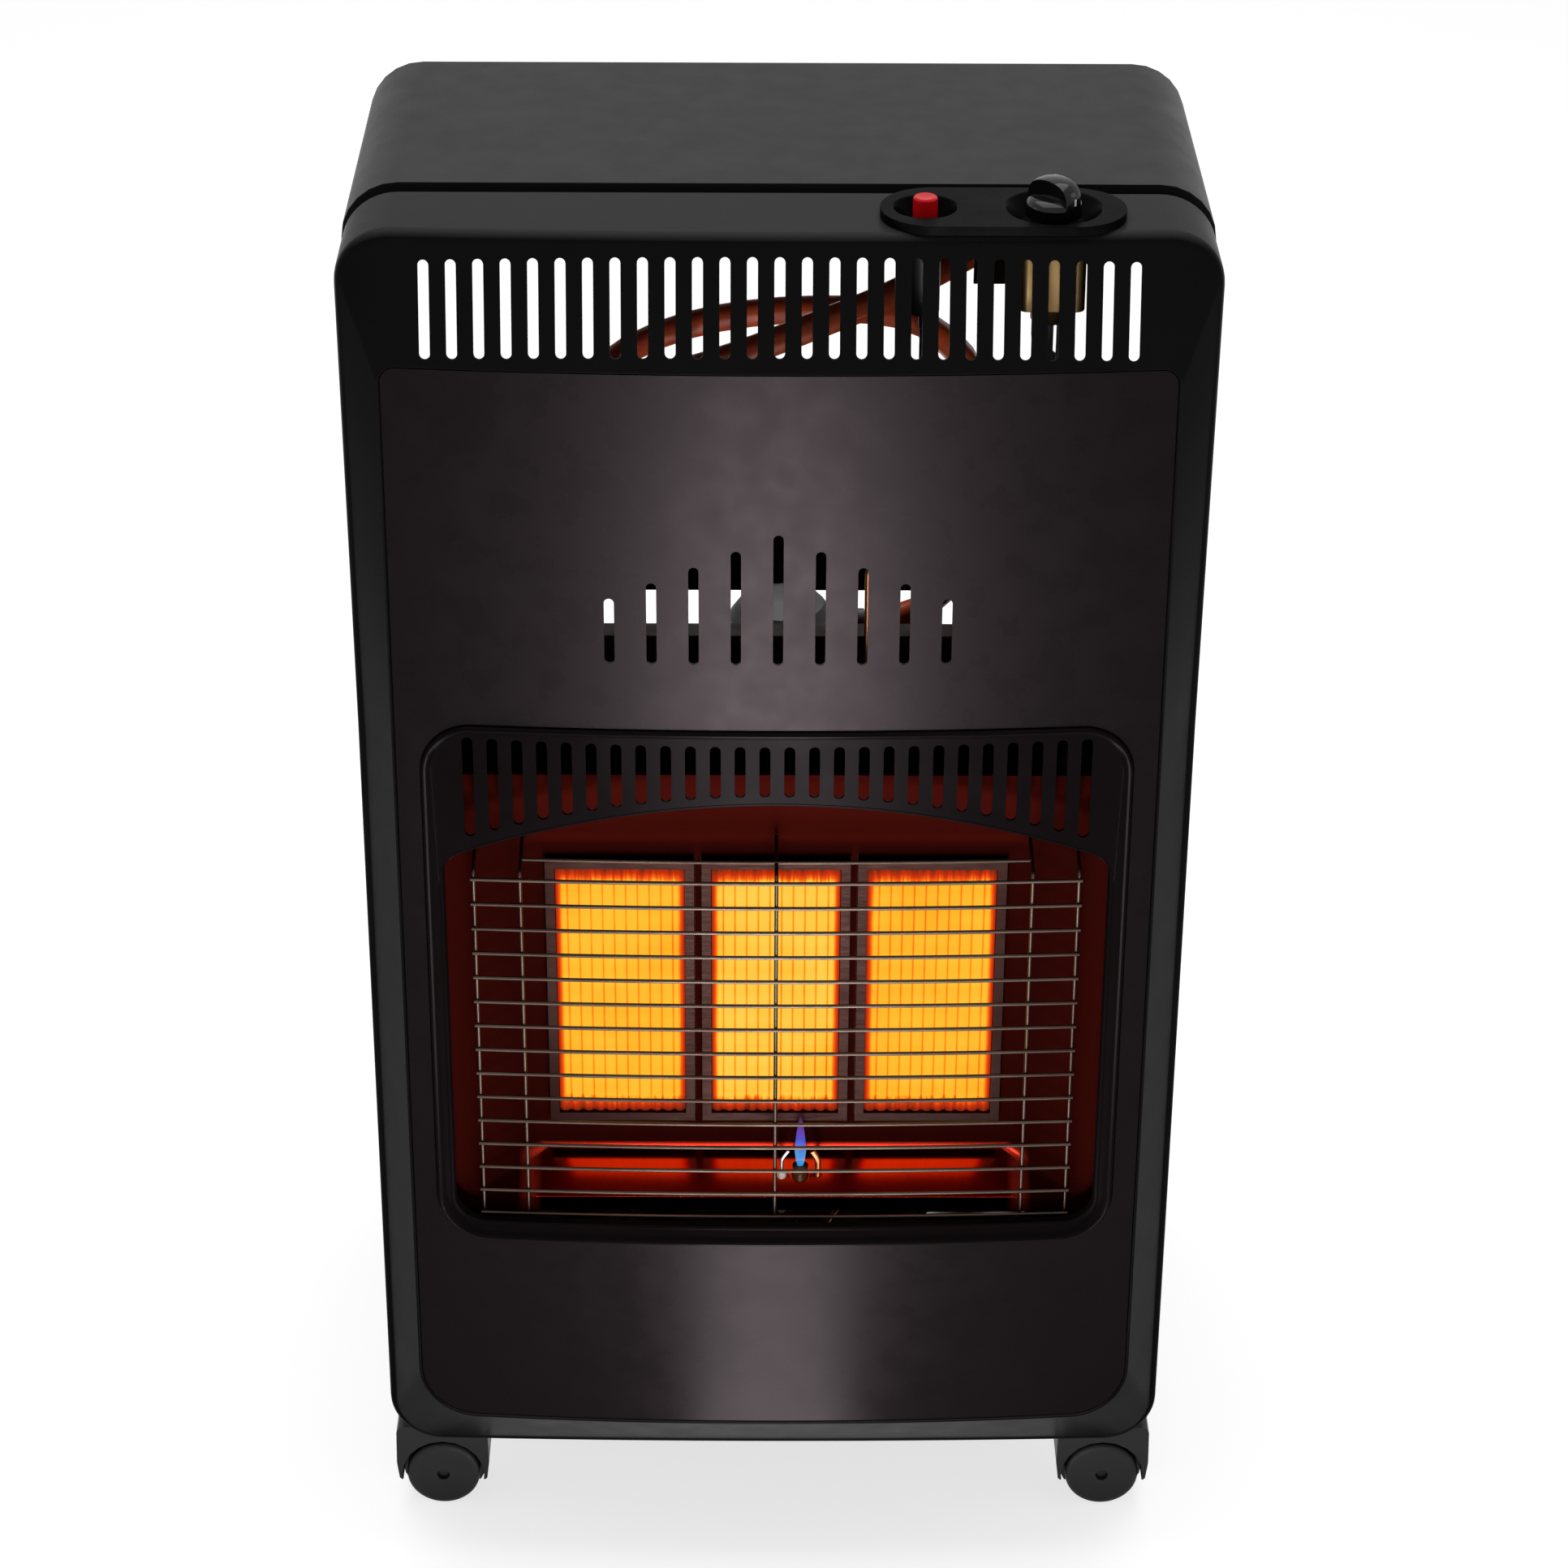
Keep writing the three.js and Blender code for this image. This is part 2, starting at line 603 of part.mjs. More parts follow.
function burnerSurround() {
  const ring = (points, back) => lift(points, (x) => faceY(x) + back);
  const back = SURROUND_BACK;
  const skin = loft([
    ring(burnerOutline(4), back),
    ring(burnerOutline(0), back),
    ring(burnerOutline(0), -LIP + 0.8),
    ring(burnerOutline(-1.4), -LIP),
    ring(burnerOutline(-3), -LIP + 0.6),
    ring(burnerOutline(-LIP_WIDTH), 1.2),
    ring(mouthOutline(0), RECESS * 0.5),
    ring(mouthOutline(1.2), RECESS),
    ring(mouthOutline(1.2 - SHEET), RECESS),
    ring(mouthOutline(-SHEET), RECESS * 0.5 + SHEET),
    ring(burnerOutline(-4), 1.2 + SHEET),
    ring(burnerOutline(-2.2), back - 0.4),
    ring(burnerOutline(-1.2), back + SHEET),
    ring(burnerOutline(4), back + SHEET),
  ]);
  const lowAt = (x) => archZ(x) + 7 - 4 * bulge(x, BURNER_HALF);
  const highAt = (x) => BURNER_HIGH - 6 - 2.5 * bulge(x, BURNER_HALF);
  const pitch = pitchOf(BURNER_HALF - HOOD_MARGIN, HOOD_SLOTS);
  const slots = slotRow(
    HOOD_SLOTS, pitch, HOOD_SLOT_WIDTH, lowAt, highAt, FRONT_Y - 20, REFLECTOR_FRONT_Y - 1,
  );
  return cut(skin, ...slots);
}

// ---------------------------------------------------------------- reflector and burner heads
const headX = (i) => (i - (PLAQUES - 1) / 2) * PLAQUE_PITCH;

function reflector() {
  const front = (grow) =>
    outline(REFLECTOR_FRONT_HALF + grow, REFLECTOR_FRONT_LOW - grow, REFLECTOR_FRONT_HIGH + grow, 9);
  const rear = (grow) =>
    outline(REFLECTOR_BACK_HALF + grow, REFLECTOR_BACK_LOW - grow, REFLECTOR_BACK_HIGH + grow, 9);
  const flat = (points, y) => lift(points, () => y);
  const shell = loft([
    flat(front(REFLECTOR_FLANGE), REFLECTOR_FRONT_Y),
    flat(front(0), REFLECTOR_FRONT_Y),
    flat(rear(0), REFLECTOR_BACK_Y),
    flat(rear(-8), REFLECTOR_BACK_Y),
    flat(rear(-8), REFLECTOR_BACK_Y + SHEET),
    flat(rear(0.8), REFLECTOR_BACK_Y + SHEET),
    flat(front(0.8), REFLECTOR_FRONT_Y + SHEET),
    flat(front(REFLECTOR_FLANGE), REFLECTOR_FRONT_Y + SHEET),
  ]);
  const back = alongY(polygon(rear(-7)), REFLECTOR_BACK_Y, REFLECTOR_BACK_Y + SHEET);
  const windows = [];
  for (let i = 0; i < PLAQUES; i += 1) {
    const half = HEAD_WIDTH / 2 + GAP;
    const x = headX(i);
    windows.push(block(x - half, x + half, 0, 30, HEAD_LOW - GAP, HEAD_HIGH + GAP));
  }
  const holes = [
    [PILOT.x, PILOT.radius], [PROBE.x, PROBE.radius], [ELECTRODE.x, ELECTRODE.radius],
  ].map(([x, radius]) => rod(radius + GAP, MOUTH_LOW - 9, HEAD_LOW, x, PILOT.y, 12));
  return cut(join(shell, back), ...windows, ...holes);
}

function burnerHead(x) {
  const half = HEAD_WIDTH / 2;
  const rearY = HEAD_FRONT_Y + HEAD_DEPTH;
  const box = block(x - half, x + half, HEAD_FRONT_Y, rearY, HEAD_LOW, HEAD_HIGH);
  const flangeHalf = PLAQUE_PITCH / 2 - FLANGE_CLEARANCE;
  const flangeY = REFLECTOR_BACK_Y + SHEET + GAP;
  const flange = block(
    x - flangeHalf, x + flangeHalf, flangeY, flangeY + SHEET, HEAD_LOW - HEAD_LIP, HEAD_HIGH + HEAD_LIP,
  );
  const inner = block(
    x - half + HEAD_FRAME, x + half - HEAD_FRAME, HEAD_FRONT_Y - 2, rearY - SHEET,
    HEAD_LOW + HEAD_FRAME, HEAD_HIGH - HEAD_FRAME,
  );
  const tubeY = rearY - VENTURI_RADIUS;
  const neck = VENTURI_RADIUS;
  const venturi = turned(
    [[0, VENTURI_LOW], [neck + 3, VENTURI_LOW], [neck + 3, VENTURI_LOW + 3],
      [neck - 2, VENTURI_LOW + 14], [neck - 2, VENTURI_LOW + 26], [neck, HEAD_LOW + 2], [0, HEAD_LOW + 2]],
    x, tubeY + 3, 16,
  );
  const bore = rod(neck - 3.5, VENTURI_LOW - 1, HEAD_LOW + HEAD_FRAME + 1, x, tubeY + 3, 16);
  return cut(join(cut(join(box, flange), inner), venturi), bore);
}

function plaque(x) {
  const half = HEAD_WIDTH / 2 - HEAD_FRAME - GAP;
  const low = HEAD_LOW + HEAD_FRAME + GAP;
  const high = HEAD_HIGH - HEAD_FRAME - GAP;
  const front = HEAD_FRONT_Y + PLAQUE_SET_BACK;
  const body = block(x - half, x + half, front + RIB_PROUD, front + PLAQUE_THICK, low, high);
  const pitch = (2 * half) / PLAQUE_RIBS;
  const ribs = [];
  for (let i = 0; i < PLAQUE_RIBS; i += 1) {
    const left = x - half + pitch * (i + 0.11);
    ribs.push(block(left, left + pitch * 0.78, front, front + RIB_PROUD + 0.2, low + 2, high - 2));
  }
  return join(body, ...ribs);
}

// ---------------------------------------------------------------- guard
function reflectorSideY(x) {
  const share = (REFLECTOR_FRONT_HALF - Math.abs(x)) / (REFLECTOR_FRONT_HALF - REFLECTOR_BACK_HALF);
  return REFLECTOR_FRONT_Y + share * (REFLECTOR_BACK_Y - REFLECTOR_FRONT_Y);
}

function guard() {
  const radius = GUARD_WIRE / 2;
  const depthAt = (x) => GUARD_Y - GUARD_BOW * bulge(x, GUARD_HALF);
  const rows = [];
  const pitch = (GUARD_HIGH - GUARD_LOW) / (GUARD_ROWS - 1);
  for (let i = 0; i < GUARD_ROWS; i += 1) {
    const z = GUARD_LOW + i * pitch;
    rows.push(tube(bowedWire(GUARD_HALF, z, depthAt), radius, 4, GUARD_SIDES));
  }
  const topZ = GUARD_HIGH + 5;
  const topRow = bowedWire(GUARD_HALF - UPRIGHT_INSET, topZ, (x) => depthAt(x) + 12);
  rows.push(tube(topRow, radius, 4, GUARD_SIDES));
  const outer = GUARD_HALF - GUARD_WIRE / 2 - 0.2;
  const inner = GUARD_HALF - UPRIGHT_INSET;
  const uprights = [-outer, -inner, 0, inner, outer].map((x) => {
    const y = depthAt(x) + GUARD_WIRE * 0.7;
    const wall = Math.min(reflectorSideY(x) - GUARD_WIRE, GUARD_HOOK_Y);
    const path = new BentPath(
      [at(x, REFLECTOR_FRONT_Y - GAP, GUARD_LOW - 1), at(x, y, GUARD_LOW - 1), at(x, y, GUARD_HIGH + 3),
        at(x, wall, GUARD_HIGH + GUARD_REACH)],
      2,
    );
    return tube(path, radius, path.steps, GUARD_SIDES);
  });
  return join(rows[0], ...rows.slice(1), ...uprights);
}

function bowedWire(half, z, depthAt) {
  const points = [-1, -0.5, 0, 0.5, 1].map((share) => at(share * half, depthAt(share * half), z));
  return new THREE.CatmullRomCurve3(points);
}

// ---------------------------------------------------------------- burner chamber
function burnerChamber() {
  const flangeY = faceY(CHAMBER_HALF + EAR) + SURROUND_BACK + SHEET + GAP;
  const outer = block(-CHAMBER_HALF, CHAMBER_HALF, flangeY, CHAMBER_BACK_Y, CHAMBER_LOW, CHAMBER_HIGH);
  const inner = block(
    -CHAMBER_HALF + SHEET, CHAMBER_HALF - SHEET, flangeY - 9, CHAMBER_BACK_Y - SHEET,
    CHAMBER_LOW + SHEET, CHAMBER_HIGH - SHEET,
  );
  const openTop = block(
    -CHAMBER_HALF + 8, CHAMBER_HALF - 8, flangeY - 9, CHAMBER_BACK_Y - 14, CHAMBER_HIGH - 9, CHAMBER_HIGH + 9,
  );
  const openLow = block(
    -CHAMBER_HALF + 14, CHAMBER_HALF - 14, flangeY - 9, 0, CHAMBER_LOW - 9, CHAMBER_LOW + 9,
  );
  const ears = [-1, 1].map((side) => {
    const inside = side * (CHAMBER_HALF - SHEET);
    const outside = side * (CHAMBER_HALF + EAR);
    return block(
      Math.min(inside, outside), Math.max(inside, outside),
      flangeY, flangeY + SHEET, CHAMBER_LOW, CHAMBER_HIGH,
    );
  });
  const vents = slotRow(
    7, 40, 10, () => CHAMBER_LOW + 18, () => CHAMBER_LOW + 58, CHAMBER_BACK_Y - 5, CHAMBER_BACK_Y + 5,
  );
  return cut(join(cut(outer, inner, openTop, openLow), ...ears), ...vents);
}

// ---------------------------------------------------------------- controls
function stadium(x0, x1, y0, y1) {
  return roundedShape(x0, x1, y0, y1, (y1 - y0) / 2 - 0.5);
}

// Outside radius of a well's cup at a height, between its floor and the bezel's top.
function cupRadius(rim, floor, z) {
  const share = (z - WELL_FLOOR) / WELL_DEPTH;
  return floor + WELL_WALL + (rim - floor) * share;
}

function wellCup(x, { rim, well }) {
  const low = WELL_FLOOR - PRESSING;
  return turned(
    [[0, low], [cupRadius(rim, well, low), low], [cupRadius(rim, well, BEZEL_TOP - 1), BEZEL_TOP - 1],
      [0, BEZEL_TOP - 1]],
    x, CONTROL_Y, 28,
  );
}

function wellHollow(x, { rim, well }) {
  const above = rim + (rim - well) / WELL_DEPTH;
  return turned(
    [[0, WELL_FLOOR], [well, WELL_FLOOR], [above, BEZEL_TOP + 1], [0, BEZEL_TOP + 1]],
    x, CONTROL_Y, 28,
  );
}

function controlBezel() {
  const outline = stadium(
    BUTTON_X - BEZEL.left, KNOB_X + BEZEL.right, CONTROL_Y - BEZEL.front, CONTROL_Y + BEZEL.back,
  );
  const plate = alongZ(outline, BEZEL_LOW, BEZEL_TOP, 6);
  return cut(
    join(plate, wellCup(KNOB_X, KNOB), wellCup(BUTTON_X, BUTTON)),
    wellHollow(KNOB_X, KNOB),
    wellHollow(BUTTON_X, BUTTON),
    rod(SPINDLE + 2, PLATE_TOP, BEZEL_TOP, KNOB_X, CONTROL_Y),
    rod(BUTTON.radius + 0.6, PLATE_TOP, BEZEL_TOP, BUTTON_X, CONTROL_Y),
  );
}

// A round skirt under a broad grip that is domed from end to end.
function controlKnob() {
  const { radius, height, grip } = KNOB;
  const low = KNOB_LOW;
  const high = low + height;
  const skirt = turned(
    [[0, low], [radius, low], [radius, low + 6], [radius - 1, low + 8], [radius - 4, low + 9.5],
      [0, low + 10.5]],
    KNOB_X, CONTROL_Y, 24,
  );
  const dome = turned(
    [[0, low + 4], [radius - 0.3, low + 4], [radius - 0.3, high - 8], [radius - 1.4, high - 4.5],
      [radius - 4, high - 1.6], [radius - 8, high - 0.3], [0, high]],
    KNOB_X, CONTROL_Y, 24,
  );
  const bar = solid(new THREE.BoxGeometry(2 * grip, 2 * radius, 2 * height)
    .rotateZ(THREE.MathUtils.degToRad(KNOB_POINTS)).translate(KNOB_X, CONTROL_Y, low + 4 + height));
  const socket = rod(SPINDLE + GAP, low - 1, low + SPINDLE_GRIP, KNOB_X, CONTROL_Y);
  return cut(join(skirt, dome.intersect(bar)), socket);
}

function igniterButton() {
  const { radius, height, proud } = BUTTON;
  const high = BEZEL_TOP + proud;
  const low = high - height;
  return turned(
    [[0, low - PLUNGER_LENGTH], [PLUNGER, low - PLUNGER_LENGTH], [PLUNGER, low], [radius, low],
      [radius, high - 1], [radius - 1, high], [0, high]],
    BUTTON_X, CONTROL_Y, 20,
  );
}

function valvePlate() {
  const back = CONTROL_Y + 24;
  const plate = block(BUTTON_X - 28, KNOB_X + 24, CONTROL_Y - 13, back, PLATE_LOW, PLATE_TOP);
  const leg = block(KNOB_X - 34, KNOB_X - 18, back - PRESSING, back, PLATE_LOW - 34, PLATE_LOW + 1);
  return cut(
    join(plate, leg),
    rod(SPINDLE + 2, PLATE_LOW - 5, PLATE_TOP + 5, KNOB_X, CONTROL_Y),
    rod(BUTTON.radius + 1, PLATE_LOW - 5, PLATE_TOP + 5, BUTTON_X, CONTROL_Y),
  );
}

function gasValve() {
  const y = CONTROL_Y;
  const box = roundedShape(KNOB_X - VALVE.left, KNOB_X + VALVE.right, y - VALVE.front, y + VALVE.back, 4);
  const body = alongZ(box, VALVE_LOW + 8, VALVE_TOP - 6, 3);
  const bonnet = rod(11, VALVE_TOP - 8, VALVE_TOP, KNOB_X, y);
  const foot = rod(9, VALVE_LOW, VALVE_LOW + 10, KNOB_X, y, 16);
  const mouth = y + HOSE_START - GAP;
  const inlet = lying(
    [[0, y + 10], [7, y + 10], [7, y + 24], [5, y + 26], [5, mouth], [0, mouth]], KNOB_X, INLET_Z, 16,
  );
  const bore = rod(SPINDLE + GAP, VALVE_TOP - SPINDLE_DEPTH - KNOB_PUSH - 1, VALVE_TOP + 1, KNOB_X, y);
  return cut(join(body, bonnet, foot, inlet), bore);
}

function valveSpindle() {
  return rod(SPINDLE, VALVE_TOP - SPINDLE_DEPTH, KNOB_LOW + SPINDLE_GRIP - GAP, KNOB_X, CONTROL_Y);
}

const PIEZO_LENGTH = 46;

function piezo() {
  const high = VALVE_TOP;
  const low = high - PIEZO_LENGTH;
  const body = turned(
    [[0, low], [2, low], [2, low + 8], [7.5, low + 8], [7.5, high - 5], [9, high - 5], [9, high], [0, high]],
    BUTTON_X, CONTROL_Y, 16,
  );
  return cut(body, rod(PLUNGER + GAP, high - 24, high + 5, BUTTON_X, CONTROL_Y));
}

// ---------------------------------------------------------------- pilot and pipes
const PILOT_LOW = MOUTH_LOW - 13;
const PILOT_TOP = HEAD_LOW - 19.5;

function pilotBurner() {
  const { x, y, radius } = PILOT;
  return turned(
    [[0, PILOT_LOW], [radius - 1, PILOT_LOW], [radius - 1, PILOT_LOW + 12], [radius, PILOT_LOW + 13],
      [radius, PILOT_TOP - 2], [radius - 1, PILOT_TOP], [0, PILOT_TOP]],
    x, y, 16,
  );
}

// A rod through the reflector's floor whose tip leans over the pilot.
function probe(x, radius, low, tip) {
  const bend = PILOT_TOP + 3;
  const path = new BentPath([at(x, PILOT.y, low), at(x, PILOT.y, bend), at(tip, PILOT.y, bend + 5)], 2);
  return tube(path, radius, path.steps, 8);
}

const INSULATOR_TOP = PILOT_TOP - 4;

function insulator() {
  const { x, radius, wire } = ELECTRODE;
  const body = turned(
    [[0, PILOT_LOW], [radius - 0.6, PILOT_LOW], [radius, PILOT_LOW + 1], [radius, INSULATOR_TOP - 1],
      [radius - 0.6, INSULATOR_TOP], [0, INSULATOR_TOP]],
    x, PILOT.y, 12,
  );
  return cut(body, rod(wire + GAP, PILOT_LOW - 1, INSULATOR_TOP + 1, x, PILOT.y, 8));
}

// A lead from under the controls: back over the chamber, down behind the heads, forward to the pilot.
function lead(start, across, end) {
  const behind = CHAMBER_BACK_Y - 17;
  const under = VENTURI_LOW + 15;
  const path = new BentPath(
    [start, at(start.x, start.y, VALVE_LOW - 45), at(start.x, behind, VALVE_LOW - 85),
      at(across, behind, CHAMBER_HIGH + 40), at(across, behind, under), at(across, HEAD_FRONT_Y + 12, under),
      at(end.x, end.y, end.z - 14), end],
    5,
  );
  return tube(path, LEAD_RADIUS, path.steps, 8);
}

const igniterLead = () => lead(
  at(BUTTON_X, CONTROL_Y, VALVE_TOP - PIEZO_LENGTH - GAP),
  PLAQUE_PITCH / 2 - 8,
  at(ELECTRODE.x, PILOT.y, PILOT_LOW - 2 - GAP),
);

const thermocoupleLead = () => lead(
  at(KNOB_X - 7, CONTROL_Y - 5, VALVE_LOW - GAP),
  PLAQUE_PITCH / 2 + 6,
  at(PROBE.x, PILOT.y, PILOT_LOW - 2 - GAP),
);

function injector(x) {
  const y = HEAD_FRONT_Y + HEAD_DEPTH - VENTURI_RADIUS + 3;
  const top = VENTURI_LOW - 4;
  return { x, y, top };
}

function gasPipe(i) {
  const { x, y, top } = injector(headX(i));
  const riserX = CHAMBER_HALF - 14 - i * 10;
  const riserY = y + 30 - i * 9;
  const low = top - 18;
  const start = VALVE_LOW - GAP;
  const exit = KNOB_X + (i - 1) * 5.8;
  const path = new BentPath(
    [at(exit, CONTROL_Y + 4, start), at(exit, CONTROL_Y + 4, start - 14 - i * 9),
      at(riserX, riserY, start - 60 - i * 8), at(riserX, riserY, low), at(x, riserY, low),
      at(x, y, low), at(x, y, top)],
    5,
  );
  const pipe = tube(path, PIPE_RADIUS, path.steps, 8);
  const jet = turned(
    [[0, top - 4], [5, top - 4], [5, top + 1], [2.2, top + 3.5], [0, top + 3.5]], x, y, 12,
  );
  return join(pipe, jet);
}

// ---------------------------------------------------------------- hose and regulator
const TAIL_Z = REGULATOR_LOW + 18;

// The hose leaves the valve backwards, loops to the left behind the band and falls to the regulator.
function gasHose() {
  const inlet = at(KNOB_X, CONTROL_Y + HOSE_START, INLET_Z);
  const tail = at(REGULATOR.x + REGULATOR.reach, REGULATOR_Y, TAIL_Z);
  const fromInlet = (x, y, z) => inlet.clone().add(at(x, y, z));
  const fromTail = (x, y, z) => tail.clone().add(at(x, y, z));
  const route = [
    inlet, fromInlet(0, 14, 0), fromInlet(-20, 34, -6), fromInlet(-70, 14, -24), fromInlet(-108, 10, -39),
    fromInlet(-145, 10, -54), fromInlet(-182, 16, -68), fromInlet(-210, 34, -76), fromInlet(-198, 53, -70),
    fromInlet(-164, 58, -57), fromInlet(-108, 62, -51), fromInlet(-58, 72, -60), fromInlet(-28, 90, -94),
    fromTail(58, -6, 94), fromTail(52, 0, 42), fromTail(34, 0, 9), fromTail(16, 0, 0), tail,
  ];
  return tube(new THREE.CatmullRomCurve3(route, false, 'centripetal'), HOSE_RADIUS, 44, 8);
}

function regulator() {
  const { x, radius, reach } = REGULATOR;
  const y = REGULATOR_Y;
  const low = REGULATOR_LOW;
  const body = turned(
    [[0, low], [16, low], [radius, low + 8], [radius, low + 20], [radius - 5, low + 27], [9, low + 31],
      [0, low + 31]],
    x, y, 20,
  );
  const neck = rod(8, low - 12, low + 1, x, y, 16);
  const nut = turned([[0, low - 34], [15, low - 34], [15, low - 10], [0, low - 10]], x, y, 6);
  const tail = new THREE.CylinderGeometry(5, 5, 24, 12);
  tail.rotateZ(Math.PI / 2).translate(x + reach - GAP - 12, y, TAIL_Z);
  return join(body, neck, nut, solid(tail));
}

const REAR_FACE_Y = TOP_REAR_Y - 1;

function crossRail() {
  const half = HALF - SHEET - GAP;
  const y = REAR_FACE_Y;
  const profile = polygon([
    [y - RAIL_FOLD, RAIL_LOW], [y, RAIL_LOW], [y, RAIL_HIGH], [y - RAIL_FOLD, RAIL_HIGH],
    [y - RAIL_FOLD, RAIL_HIGH - SHEET], [y - SHEET, RAIL_HIGH - SHEET], [y - SHEET, RAIL_LOW + SHEET],
    [y - RAIL_FOLD, RAIL_LOW + SHEET],
  ]);
  return alongX(profile, -half, half);
}

function regulatorBracket() {
  const { x } = REGULATOR;
  const y = REGULATOR_Y;
  const half = 16;
  const neck = 8 + GAP;
  const railFace = REAR_FACE_Y - SHEET - GAP;
  const z = REGULATOR_LOW - GAP;
  const underRail = RAIL_LOW - GAP;
  const shelf = block(x - half, x + half, y - half, railFace, z - SHEET, z);
  const upright = block(x - half, x + half, railFace - SHEET, railFace, z - SHEET, underRail);
  const tongue = block(x - half, x + half, railFace - RAIL_FOLD + 1, railFace, underRail - SHEET, underRail);
  const slotted = block(x - neck, x + neck, y - half - 4, y, z - 5, z + 5);
  return cut(join(shelf, upright, tongue), rod(neck, z - 5, z + 5, x, y, 16), slotted);
}

// ---------------------------------------------------------------- cabinet and base
function wrap(inset) {
  const half = HALF - inset;
  const radius = CORNER - inset;
  const shape = new THREE.Shape();
  shape.moveTo(-half, FLOOR_Z);
  shape.lineTo(half, FLOOR_Z);
  shape.lineTo(half, HEIGHT - inset - radius);
  shape.absarc(half - radius, HEIGHT - inset - radius, radius, 0, Math.PI / 2);
  shape.lineTo(-half + radius, HEIGHT - inset);
  shape.absarc(-half + radius, HEIGHT - inset - radius, radius, Math.PI / 2, Math.PI);
  return shape;
}

// The side walls' outline in y and z, cut back behind the top.
function sideProfile(inset) {
  return polygon([
    [CABINET_Y - 9, FLOOR_Z - 9], [REAR_Y - inset, FLOOR_Z - 9], [REAR_Y - inset, HEIGHT - SLANT_DROP],
    [TOP_REAR_Y - inset, RAIL_HIGH + 8], [TOP_REAR_Y - inset, HEIGHT + 9], [CABINET_Y - 9, HEIGHT + 9],
  ]);
}

function cabinetShell() {
  const outer = alongY(wrap(0), CABINET_Y, REAR_Y, 3);
  const inner = alongY(wrap(SHEET), CABINET_Y - 1, REAR_Y + 1, 3);
  const deep = alongY(wrap(NECK + STEP_IN - GAP), CABINET_Y - 1, REAR_Y + 1, 3);
  const frontHem = cut(outer, deep, block(-300, 300, CABINET_Y + SHEET, REAR_Y + 9, 0, 900));
  const walls = cut(outer, inner).intersect(alongX(sideProfile(0), -300, 300));
  const hemRing = cut(outer, alongY(wrap(HEM), CABINET_Y - 1, REAR_Y + 1, 3))
    .intersect(cut(alongX(sideProfile(0), -300, 300), alongX(sideProfile(SHEET), -301, 301)));
  const floorCut = block(-HALF + SHEET, HALF - SHEET, CABINET_Y - 9, REAR_Y + 9, FLOOR_Z - 9, FLOOR_Z + 1);
  return cut(join(walls, frontHem, hemRing), floorCut);
}

function baseTray() {
  const half = HALF - SHEET - GAP;
  const rear = REAR_Y - SHEET - GAP;
  const frontHalf = FRAME_HALF - CORNER - 1;
  const shoulderY = RIM_Y + NECK_LENGTH + 4;
  const floor = alongZ(polygon([
    [-frontHalf, TRAY_FRONT_Y], [frontHalf, TRAY_FRONT_Y], [frontHalf, shoulderY - 12],
    [half, shoulderY], [half, REAR_Y], [-half, REAR_Y], [-half, shoulderY], [-frontHalf, shoulderY - 12],
  ]), TRAY_LOW, TRAY_TOP);
  const side = [-1, 1].map((s) => {
    const outside = s * half;
    const inside = s * (half - SHEET);
    return block(
      Math.min(inside, outside), Math.max(inside, outside),
      shoulderY, rear, TRAY_LOW, TRAY_TOP + TRAY_FLANGE,
    );
  });
  const lip = block(
    -half + HEM + 2, half - HEM - 2, REAR_Y - SHEET, REAR_Y, TRAY_LOW, TRAY_TOP + TRAY_FLANGE,
  );
  const holes = CASTORS.map(([, side, y]) =>
    rod(STEM_RADIUS + 1.5, TRAY_LOW - 5, TRAY_TOP + 5, side * CASTOR_X, y, 16));
  return cut(join(floor, ...side, lip, platform(0)), platform(SHEET), ...holes);
}

// The pressed platform that the bottle stands on, or the hollow under it.
function platform(inset) {
  const half = PLATFORM.half - inset;
  const rear = REAR_Y - PLATFORM.rear - inset;
  const low = inset ? TRAY_LOW - 1 : TRAY_LOW;
  return block(-half, half, PLATFORM.front + inset, rear, low, TRAY_TOP + PLATFORM.rise - inset);
}

function castorSocket(x, y) {
  const low = TRAY_TOP + GAP;
  const inner = STEM_RADIUS + GAP;
  const outer = turned(
    [[0, low], [SOCKET_FLANGE, low], [SOCKET_FLANGE, low + 2], [inner + 2.5, low + 3],
      [inner + 2.5, SOCKET_TOP], [0, SOCKET_TOP]],
    x, y, 10,
  );
  return cut(outer, rod(inner, low - 5, STEM_TOP + GAP, x, y, 10));
}

// The hood's outline: a flat top and two legs that run down to thin tips beside the wheels.
function hoodOutline(x) {
  const half = ARCH_RADIUS + HOOD_WALL;
  const right = [
    [half - 4, HOOD_TOP], [half - 1, HOOD_TOP - 1.2], [half, HOOD_TOP - 4], [half + 0.4, WHEEL_RADIUS + 8],
    [half - 0.8, WHEEL_RADIUS - 2], [half - 1.8, WHEEL_RADIUS - 3],
  ];
  const left = right.map(([reach, z]) => [x - reach, z]);
  return polygon([...left, ...right.reverse().map(([reach, z]) => [x + reach, z])]);
}

